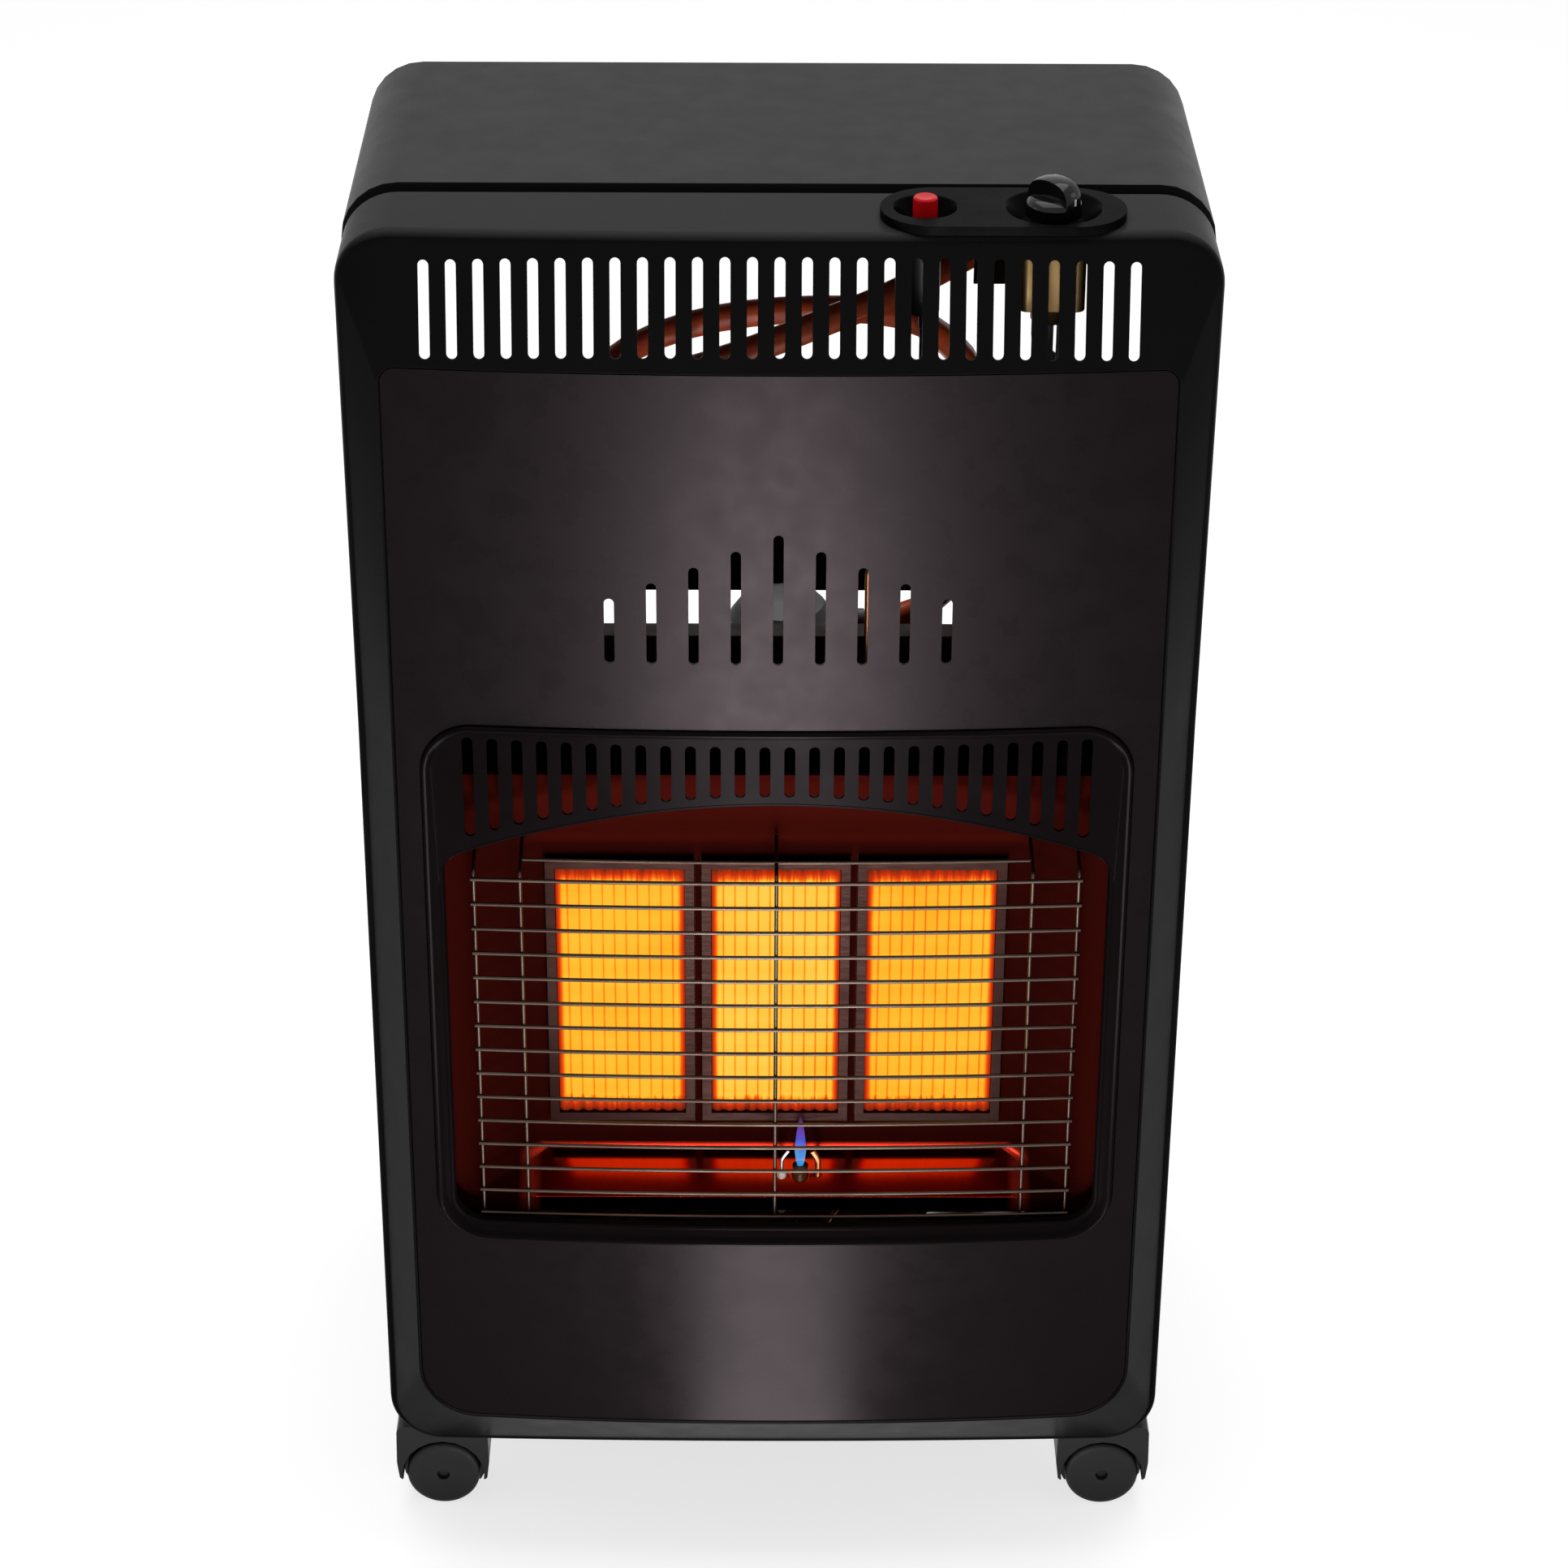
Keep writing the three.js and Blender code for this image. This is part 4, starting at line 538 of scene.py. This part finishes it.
def front_frame():
    rings = [neck_ring(0.8, 33), neck_ring(0, 32.2)]
    rings += [bend_ring(0, k / 5, 0) for k in range(6)]
    rings += [opening_ring(1.2, 0.1), opening_ring(0.4, 0.1), opening_ring(0, 0.6), opening_ring(0, 2.9)]
    rings += [opening_ring(-6, 2.9), opening_ring(-6, 4.4)]
    rings += [opening_ring(PRESSING, 4.4), opening_ring(PRESSING, 1.5)]
    rings += [bend_ring(PRESSING, k, 0.9) for k in (1, 0.5)]
    rings += [bend_ring(PRESSING, 0, PRESSING), neck_ring(PRESSING, 31.5), neck_ring(7.5, 31.5)]
    rings += [neck_ring(7.5, 62), neck_ring(6, 62), neck_ring(6, 33)]
    obj = loft("front_frame_pressing", rings)
    shade(obj)
    cutters = []
    for i in range(27):
        x = (i - 13) * 12.28
        low = PANEL_HIGH + 3.2 + 4 * bulge(x, PANEL_HALF)
        cutters.append(prism("slot", slot_outline(x, low, low + 44, 4.9), -70, 21))
    for x, rim, well in ((KNOB_X, KNOB_RIM, KNOB_WELL), (BUTTON_X, BUTTON_RIM, BUTTON_WELL)):
        radius = cup_radius(rim, well, BEZEL_LOW) + 0.5
        cutters.append(rod("well_hole", radius, FRAME_TOP - 9, FRAME_TOP + 9, x, CONTROL_Y))
    for side in (-1, 1):
        cutters.append(lathe("notch", [(0, 44), (16, 44), (16, 78), (0, 78)], (side * CASTOR_X, 27, 0)))
    cut(obj, cutters)
    return finish(obj, FRAME_CHARCOAL, replaces=["front_frame"], angle=28)


def bowed_plate(name, half, low, high, front, back, columns=64):
    across = [-half + 2 * half * i / columns for i in range(columns + 1)]
    near = [(x, face_y(x) + front) for x in across]
    far = [(x, face_y(x) + back) for x in reversed(across)]
    return prism(name, near + far, low, high, "z")


def burner_outline(grow, **counts):
    corner = BURNER_CORNER + grow
    return outline(BURNER_HALF + grow, BURNER_LOW - grow, BURNER_HIGH + grow, corner, corner, **counts)


def front_panel():
    obj = bowed_plate("front_panel_sheet", PANEL_HALF, PANEL_LOW, PANEL_HIGH, 0.8, 0.8 + PRESSING)
    face = outline(PANEL_HALF - 0.5, PANEL_LOW + 0.5, PANEL_HIGH - 0.5, 27.5, 7, edge=2, side=2, corner=16)
    cut(obj, [prism("face", face, -80, 0)], "INTERSECT")
    cutters = [prism("mouth", burner_outline(0.4, edge=2, side=2, corner=16), -80, 0)]
    for i in range(9):
        low = BURNER_HIGH + 35
        high = low + 33.5 + 8.3 * (4 - abs(i - 4))
        cutters.append(prism("slot", slot_outline((i - 4) * 19.6, low, high, 4.7), -80, 0))
    cut(obj, cutters)
    bevelled(obj, 0.3, 2)
    return finish(obj, ANTHRACITE, replaces=["front_panel"], angle=12)


# ---------------------------------------------------------------- burner
def arch_z(x):
    return ARCH_CROWN - ARCH_FALL * (min(abs(x), MOUTH_HALF) / (MOUTH_HALF - 6)) ** 2


def mouth_outline(grow):
    points = outline(MOUTH_HALF - grow, MOUTH_LOW + grow, ARCH_CROWN, 16, 12)
    base = MOUTH_LOW + grow
    ring = []
    for x, z in points:
        share = (z - base) / (ARCH_CROWN - base)
        ring.append((x, base + share * (arch_z(x) + grow - base)))
    return ring


def burner_surround():
    def ring(points, back):
        return [place(x, face_y(x) + back, z) for x, z in points]

    back = 2.6
    rings = [
        ring(burner_outline(4), back), ring(burner_outline(0), back), ring(burner_outline(0), -0.4),
        ring(burner_outline(-0.5), -1.2), ring(burner_outline(-1.4), -LIP),
        ring(burner_outline(-2.4), -LIP + 0.25),
        ring(burner_outline(-3.4), -0.5), ring(burner_outline(-4.5), 1.2), ring(mouth_outline(-1.6), 2.4),
        ring(mouth_outline(-0.6), 2.2), ring(mouth_outline(0.4), 2.8), ring(mouth_outline(1.2), 6),
        ring(mouth_outline(0), 6), ring(mouth_outline(-SHEET), 4.2), ring(burner_outline(-4), 2.4),
        ring(burner_outline(-2.2), back - 0.4), ring(burner_outline(-1.2), back + SHEET),
        ring(burner_outline(4), back + SHEET),
    ]
    obj = loft("burner_surround_pressing", rings)
    cutters = []
    for i in range(26):
        x = (i - 12.5) * 11.72
        low = arch_z(x) + 7 - 4 * bulge(x, BURNER_HALF)
        high = BURNER_HIGH - 6 - 2.5 * bulge(x, BURNER_HALF)
        cutters.append(prism("slot", slot_outline(x, low, high, 5.2), -80, -15))
    cut(obj, cutters)
    return finish(obj, SURROUND, replaces=["burner_surround"], angle=28)


def guard():
    low, high, half = 213.0, 406.8, 148.0

    def depth(x):
        return -22.0 - 4.0 * bulge(x, half)

    wires = []
    for i in range(15):
        z = low + (high - low) * i / 14
        route = [(half * (k / 8 - 1), depth(half * (k / 8 - 1)), z) for k in range(17)]
        wires.append(wire(f"row_{i}", route, GUARD_RADIUS))
    route = [(124 * (k / 8 - 1), depth(124 * (k / 8 - 1)) + 12, high + 5) for k in range(17)]
    wires.append(wire("top_row", route, GUARD_RADIUS))
    for i, x in enumerate((-146.5, -124, 0, 124, 146.5)):
        y = depth(x) + 1.5 * GUARD_RADIUS
        side_y = -14 + (158.5 - abs(x)) / 36.5 * 27
        stop = min(side_y - 2.6, 7)
        route = bent([(x, -14.3, low - 1), (x, y, low - 1), (x, y, high + 3), (x, stop, high + 8)], 2.5)
        wires.append(wire(f"upright_{i}", route, GUARD_RADIUS, smooth=False))
    obj = merged("guard_wires", wires)
    return finish(obj, WIRE, replaces=["guard_grille"], angle=60)


class Glow(Material):
    """A material with shader arithmetic for what glows."""

    def maths(self, operation, a, b=None):
        node = self.node("ShaderNodeMath", operation=operation)
        for socket, value in zip(node.inputs, (a, b)):
            if isinstance(value, (int, float)):
                socket.default_value = value
            elif value is not None:
                self.link(value, socket)
        return node.outputs[0]

    def ramp(self, factor, stops, strength):
        """Emits the colours of stops, each a place from 0 to 1 and a colour, by factor."""
        ramp = self.node("ShaderNodeValToRGB")
        while len(ramp.color_ramp.elements) < len(stops):
            ramp.color_ramp.elements.new(0.5)
        for element, (where, colour) in zip(ramp.color_ramp.elements, stops):
            element.position = where
            element.color = (*colour, 1)
        self.link(factor, ramp.inputs["Fac"])
        self.link(ramp.outputs["Color"], self.shader.inputs["Emission Color"])
        self.shader.inputs["Emission Strength"].default_value = strength

    def axes(self):
        position = self.node("ShaderNodeSeparateXYZ")
        self.link(self.where, position.inputs["Vector"])
        return position.outputs


def plaque_outline(x, front, ribs):
    """The plaque's plan: ribs with rounded faces between narrow flutes."""
    pitch = 2 * PLAQUE_HALF / ribs
    points = [(x - PLAQUE_HALF, front + 12)]
    for k in range(ribs):
        left = x - PLAQUE_HALF + k * pitch
        points += [(left, front + 1.4), (left + pitch * 0.12, front + 1.2)]
        for t in range(1, 6):
            rise = 1.2 * math.sin(math.pi * t / 6) ** 0.5
            points.append((left + pitch * (0.12 + 0.76 * t / 6), front + 1.2 - rise))
        points += [(left + pitch * 0.88, front + 1.2)]
    return points + [(x + PLAQUE_HALF, front + 1.4), (x + PLAQUE_HALF, front + 12)]


def plaque_heat(material, x, ribs):
    """How hot the plaque is from 0 to 1: dull in the flutes and at the rim, uneven over its face."""
    maths = material.maths
    pitch = 2 * PLAQUE_HALF / ribs
    axes = material.axes()
    across = maths("ADD", axes["X"], -(x - PLAQUE_HALF) * MM)
    crest = maths("SINE", maths("MULTIPLY", maths("FRACT", maths("DIVIDE", across, pitch * MM)), math.pi))
    rib = material.spread(crest, 0.0, 0.40, 0.72, 1.0)
    from_side = maths("MINIMUM", across, maths("SUBTRACT", 2 * PLAQUE_HALF * MM, across))
    up = maths("SUBTRACT", axes["Z"], PLAQUE_LOW * MM)
    from_end = maths("MINIMUM", up, maths("SUBTRACT", (PLAQUE_HIGH - PLAQUE_LOW) * MM, up))
    ragged = maths("MULTIPLY", material.noise(420, detail=1.0, stretch=(1, 1, 0.15)), 0.006)
    side = material.spread(from_side, 0.0, 0.0035, 0.25, 1.0)
    end = material.spread(maths("SUBTRACT", from_end, ragged), -0.003, 0.006, 0.0, 1.0)
    wander = material.spread(material.noise(26, detail=3.0, stretch=(1, 1, 0.8)), 0.32, 0.68, 0.90, 1.04)
    rows = maths("SINE", maths("MULTIPLY", axes["Z"], 2 * math.pi / 0.0117))
    faint = material.spread(rows, -1.0, 1.0, 0.975, 1.01)
    heat = maths("MULTIPLY", maths("MULTIPLY", rib, side), maths("MULTIPLY", end, wander))
    return maths("MULTIPLY", heat, faint)


def plaque(i, hot, peak):
    """One glowing ceramic face. hot is the colour of its ribs and peak that of the hottest spots."""
    x = (i - 1) * PLAQUE_PITCH
    ribs = 11
    obj = prism(f"plaque_{i + 1}", plaque_outline(x, 9.5, ribs), PLAQUE_LOW, PLAQUE_HIGH, "z")
    material = Glow(f"glowing_ceramic_{i + 1}", (0.05, 0.015, 0.004), 0.9, Specular_IOR_Level=0.0)
    material.grain(2200, 0.05)
    stops = (
        (0.0, (0.10, 0.004, 0.001)), (0.40, (0.55, 0.015, 0.0)), (0.66, (0.90, 0.10, 0.002)),
        (0.86, hot), (1.0, peak))
    material.ramp(plaque_heat(material, x, ribs), stops, 1.0)
    return finish(obj, material, replaces=[f"ceramic_plaque_{i + 1}"], angle=40)


def pilot():
    head = lathe("pilot_head", [
        (0, 200), (3, 200), (3, 212), (4, 213), (4, 225), (3.4, 225.4), (3.4, 227), (4, 227.4), (4, 228.4),
        (3.2, 229), (2.2, 229), (2.2, 226), (0, 226)], (PILOT_X, PILOT_Y, 0), steps=32)
    finish(head, BRASS, replaces=["pilot_burner"])
    flame = lathe("pilot_flame", [
        (0, 227), (1.4, 228), (2.2, 231), (2.9, 237), (2.6, 242), (2.0, 248), (1.3, 253), (0.7, 256),
        (0, 258)], (PILOT_X, PILOT_Y, 0), steps=28)
    burning = Glow("pilot_flame", (0.01, 0.02, 0.1), 0.5, Alpha=0.42, Specular_IOR_Level=0.0)
    up = burning.spread(burning.axes()["Z"], 0.227, 0.258, 0, 1)
    lick = burning.spread(burning.noise(180, detail=2.0, stretch=(1, 1, 0.4)), 0.3, 0.7, -0.08, 0.08)
    stops = (
        (0.0, (0.02, 0.30, 1.0)), (0.25, (0.15, 0.55, 1.0)), (0.5, (0.10, 0.12, 0.85)),
        (0.8, (0.20, 0.06, 0.45)), (1.0, (0.12, 0.01, 0.06)))
    burning.ramp(burning.maths("ADD", up, lick), stops, 1.0)
    finish(flame, burning, angle=60)
    dress("thermocouple", COPPER, width=0, angle=50)
    dress("electrode_insulator", CERAMIC, width=0, angle=50)
    dress("spark_electrode", STEEL, width=0, angle=50)


# ---------------------------------------------------------------- controls
def stadium(left, right, front, back, steps=18):
    radius = (back - front) / 2
    middle = (back + front) / 2
    points = [(right - radius + radius * math.cos(a), middle + radius * math.sin(a))
              for a in (math.pi * (k / steps - 0.5) for k in range(steps + 1))]
    points += [(left + radius - radius * math.cos(a), middle - radius * math.sin(a))
               for a in (math.pi * (k / steps - 0.5) for k in range(steps + 1))]
    return points


def cup_radius(rim, well, z):
    """Outside radius of a well's cup at a height."""
    return well + 1.3 + (rim - well) * (z - WELL_FLOOR) / (BEZEL_TOP - WELL_FLOOR)


def bezel():
    obj = prism("bezel_plate", stadium(45, 156.5, -21.5, 28.5, 40), BEZEL_LOW, BEZEL_TOP, "z")
    cups, hollows = [], []
    for x, rim, well, bore in (
            (KNOB_X, KNOB_RIM, KNOB_WELL, 6), (BUTTON_X, BUTTON_RIM, BUTTON_WELL, BUTTON_RADIUS + 0.6)):
        low = WELL_FLOOR - 1.5
        cup = [(0, low), (cup_radius(rim, well, low) - 0.6, low), (cup_radius(rim, well, low), low + 0.6),
               (cup_radius(rim, well, BEZEL_TOP - 1), BEZEL_TOP - 1), (0, BEZEL_TOP - 1)]
        cups.append(lathe("cup", cup, (x, CONTROL_Y, 0), steps=96))
        slope = (rim - well) / (BEZEL_TOP - WELL_FLOOR)
        dish = [
            (0, WELL_FLOOR), (well - 1.2, WELL_FLOOR), (well - 0.2, WELL_FLOOR + 0.3),
            (well + 0.6 * slope, WELL_FLOOR + 1.1), (rim - 0.9 * slope, BEZEL_TOP - 0.9),
            (rim + 0.1, BEZEL_TOP - 0.3), (rim + 0.7, BEZEL_TOP + 0.01), (rim + 0.7, BEZEL_TOP + 2),
            (0, BEZEL_TOP + 2)]
        hollows.append(lathe("hollow", dish, (x, CONTROL_Y, 0), steps=96))
        hollows.append(rod("bore", bore, WELL_FLOOR - 5, WELL_FLOOR + 0.5, x, CONTROL_Y, 40))
    cut(obj, cups, "UNION")
    for hollow in hollows:
        cut(obj, [hollow])
    bevelled(obj, 0.9, 3, 50)
    return finish(obj, BEZEL_BLACK, replaces=["control_bezel"], angle=30)


KNOB_TURN = Matrix.Rotation(math.radians(45), 3, "Z")  # the grip points to the front right, fully open


def turned_points(points):
    """Points about the knob's axis, with the grip's front end along -y, as points of the drawing."""
    return [(KNOB_X + p.x, CONTROL_Y + p.y) for p in (KNOB_TURN @ Vector((a, b, 0)) for a, b in points)]


def rectangle(half, near, far):
    return [(-half, near), (half, near), (half, far), (-half, far)]


def knob():
    low, high, radius = KNOB_LOW, KNOB_LOW + KNOB_HEIGHT, KNOB_RADIUS
    body = lathe("knob_body", [
        (0, low), (radius - 0.6, low), (radius, low + 0.6), (radius, low + 5.6), (radius - 0.3, low + 6.6),
        (radius - 1, low + 7.6), (radius - 2.2, low + 8.6), (radius - 4, low + 9.4), (0, low + 10.4)],
        (KNOB_X, CONTROL_Y, 0), steps=96)
    dome = lathe("knob_dome", [
        (0, low + 4), (radius - 0.3, low + 4), (radius - 0.3, high - 8), (radius - 0.7, high - 6),
        (radius - 1.5, high - 4.3), (radius - 2.7, high - 2.8), (radius - 4.4, high - 1.6),
        (radius - 6.5, high - 0.8), (radius - 9, high - 0.3), (0, high)],
        (KNOB_X, CONTROL_Y, 0), steps=96)
    grip = prism("grip", turned_points(rectangle(5, -radius - 4, radius + 4)), low + 3, high + 2, "z")
    cut(dome, [grip], "INTERSECT")
    cut(body, [dome], "UNION")
    bevelled(body, 0.45, 3, 40)
    finish(body, GLOSS_BLACK, "knob", ["control_knob"], 30)
    front = -radius + 0.28
    line = turned_points(rectangle(0.55, front - 0.12, front + 0.6))
    mark = prism("knob_pointer", line, low + 7.6, high - 7.4, "z")
    finish(mark, POINTER, "knob")


def button():
    high = BEZEL_TOP + 5
    low = high - 12.5
    r = BUTTON_RADIUS
    profile = [
        (0, low - 18), (2.5, low - 18), (2.5, low), (r, low), (r, high - 1.3), (r - 0.3, high - 0.6),
        (r - 0.9, high - 0.15), (r - 1.8, high - 0.2), (0, high - 0.6)]
    obj = lathe("button_cap", profile, (BUTTON_X, CONTROL_Y, 0), steps=64)
    finish(obj, RED, "button", ["igniter_button"], 30)


# ---------------------------------------------------------------- hose and inside
def inside():
    dress("gas_hose", ORANGE, width=0, angle=50)
    dress("gas_valve", BRASS, width=0.5)
    dress("valve_spindle", STEEL, "spindle", width=0.3)
    dress("valve_plate", SCALED)
    dress("piezo_igniter", BLACK)
    dress("igniter_lead", BLACK, width=0, angle=50)
    dress("thermocouple_lead", COPPER, width=0, angle=50)
    dress("regulator", GREY, width=0.6)
    dress("regulator_bracket", ZINC)
    dress("rear_cross_rail", CHARCOAL)
    dress("base_tray", CHARCOAL)
    dress("burner_chamber", SCALED)
    dress("reflector", REFLECTOR)
    for i in range(3):
        dress(f"burner_head_{i + 1}", HEAD)
        dress(f"gas_pipe_{i + 1}", ALUMINIUM, width=0, angle=50)


# ---------------------------------------------------------------- cabinet and castors
def cabinet():
    dress("cabinet_shell", CHARCOAL, width=0.3)


def castor(place_name, side, y):
    stem_x = side * CASTOR_X
    x = stem_x + side * TRAIL
    body, wheels = f"castor_{place_name}", f"wheels_{place_name}"
    dress(f"castor_socket_{place_name}", ZINC)
    dress(f"castor_fork_{place_name}", BLACK, body, width=0.6)
    dress(f"castor_axle_{place_name}", DARK_STEEL, wheels)
    for which, offset in (("outer", -9), ("inner", 9)):
        half, r = 5.0, WHEEL_R
        profile = [
            (3.3, -half), (r - 3, -half), (r - 1.2, -half + 0.5), (r - 0.2, -half + 1.6), (r, -half + 2.4),
            (r, half - 2.4), (r - 0.2, half - 1.6), (r - 1.2, half - 0.5), (r - 3, half), (3.3, half),
            (3.3, -half)]
        obj = lathe(f"castor_disc_{which}_{place_name}", profile, (x, y + offset, r), "y", 72)
        finish(obj, NYLON, wheels, [f"castor_wheel_{which}_{place_name}"], 40)


# ---------------------------------------------------------------- stage
def seen_directly(material_tree):
    """1 for rays from the camera, a mirror or a pane, 0 for the light that falls on things."""
    path = material_tree.nodes.new("ShaderNodeLightPath")
    total = path.outputs["Is Camera Ray"]
    for ray in ("Is Glossy Ray", "Is Transmission Ray"):
        both = material_tree.nodes.new("ShaderNodeMath")
        both.operation = "MAXIMUM"
        material_tree.links.new(total, both.inputs[0])
        material_tree.links.new(path.outputs[ray], both.inputs[1])
        total = both.outputs[0]
    return total


def floor():
    size = 6.0
    corners = [(-size, -size, 0), (size, -size, 0), (size, size, 0), (-size, size, 0)]
    obj = mesh_object("floor", corners, [(0, 1, 2, 3)])
    material = Material("pale_floor", (0.50, 0.50, 0.50), 0.9, Specular_IOR_Level=0.0)
    material.mottle((0.49, 0.49, 0.49), 3)
    glow = material.node("ShaderNodeEmission")
    lift = material.node("ShaderNodeMath", operation="MULTIPLY")
    lift.inputs[1].default_value = 0.72
    material.link(seen_directly(material.tree), lift.inputs[0])
    material.link(lift.outputs[0], glow.inputs["Strength"])
    both = material.node("ShaderNodeAddShader")
    material.link(material.shader.outputs[0], both.inputs[0])
    material.link(glow.outputs[0], both.inputs[1])
    material.link(both.outputs[0], material.tree.nodes["Material Output"].inputs["Surface"])
    obj.data.materials.append(material.data)


def lamp(name, where, aim, size, power):
    data = bpy.data.lights.new(name, "AREA")
    data.shape = "RECTANGLE"
    data.size, data.size_y = size
    data.energy = power
    obj = bpy.data.objects.new(name, data)
    obj.location = where
    obj.rotation_euler = (Vector(aim) - Vector(where)).to_track_quat("-Z", "Y").to_euler()
    obj.visible_camera = False
    bpy.context.scene.collection.objects.link(obj)
    return obj


def lights():
    world = bpy.data.worlds.new("studio")
    bpy.context.scene.world = world
    world.use_nodes = True
    tree = world.node_tree
    background = tree.nodes["Background"]
    strength = tree.nodes.new("ShaderNodeMapRange")
    strength.inputs["To Min"].default_value = 0.35
    strength.inputs["To Max"].default_value = 1.0
    tree.links.new(seen_directly(tree), strength.inputs["Value"])
    tree.links.new(strength.outputs["Result"], background.inputs["Strength"])
    background.inputs["Color"].default_value = (1, 1, 1, 1)
    lamp("overhead", (0, 0.3, 2.6), (0, 0, 0.3), (2.4, 2.0), 42)
    for side in (-1, 1):
        lamp("side", (side * 1.5, -0.25, 1.12), (side * 0.2, -0.18, 0.70), (0.6, 0.5), 1.6)
    for near, far, half, power in (
            (-0.21, -0.40, 0.045, 58), (-0.40, -0.62, 0.05, 68),
            (-0.62, -1.0, 0.08, 100), (-1.0, -1.8, 0.12, 150)):
        floor_strip(near, far, half, power)


def floor_strip(near, far, half, power):
    """A lamp flat on the floor in front, mirrored by the bowed panel. The power is per square metre."""
    middle = (near + far) / 2
    energy = power * 2 * half * (near - far)
    obj = lamp("floor_strip", (0, middle, 0.004), (0, middle, 1), (2 * half, near - far), energy)
    obj.rotation_euler = (math.pi, 0, 0)


def camera():
    """The photograph's view: fitted to its straight edges, for a frame of 1932 x 1932 pixels."""
    data = bpy.data.cameras.new("photo_view")
    data.sensor_width = 36.0
    data.lens = 5150 / 1932 * 36.0
    obj = bpy.data.objects.new("photo_view", data)
    yaw, pitch, roll = (math.radians(a) for a in (-0.495, 28.634, 0.373))
    turn = Matrix.Rotation(yaw, 4, "Z") @ Matrix.Rotation(math.pi / 2 - pitch, 4, "X")
    turn = turn @ Matrix.Rotation(roll, 4, "Z")
    obj.matrix_world = Matrix.Translation(place(-11.8, -1772.3, 1415.3)) @ turn
    bpy.context.scene.collection.objects.link(obj)
    bpy.context.scene.camera = obj


camera()
bpy.context.scene.view_settings.view_transform = "Standard"
floor()
lights()
front_frame()
front_panel()
burner_surround()
guard()
for index, (hot, peak) in enumerate((
        ((0.94, 0.40, 0.010), (0.96, 0.51, 0.03)),
        ((0.93, 0.47, 0.018), (0.95, 0.60, 0.07)),
        ((0.94, 0.40, 0.010), (0.96, 0.51, 0.03)))):
    plaque(index, hot, peak)
pilot()
bezel()
knob()
button()
inside()
cabinet()
for name, (side, y) in CASTORS.items():
    castor(name, side, y)
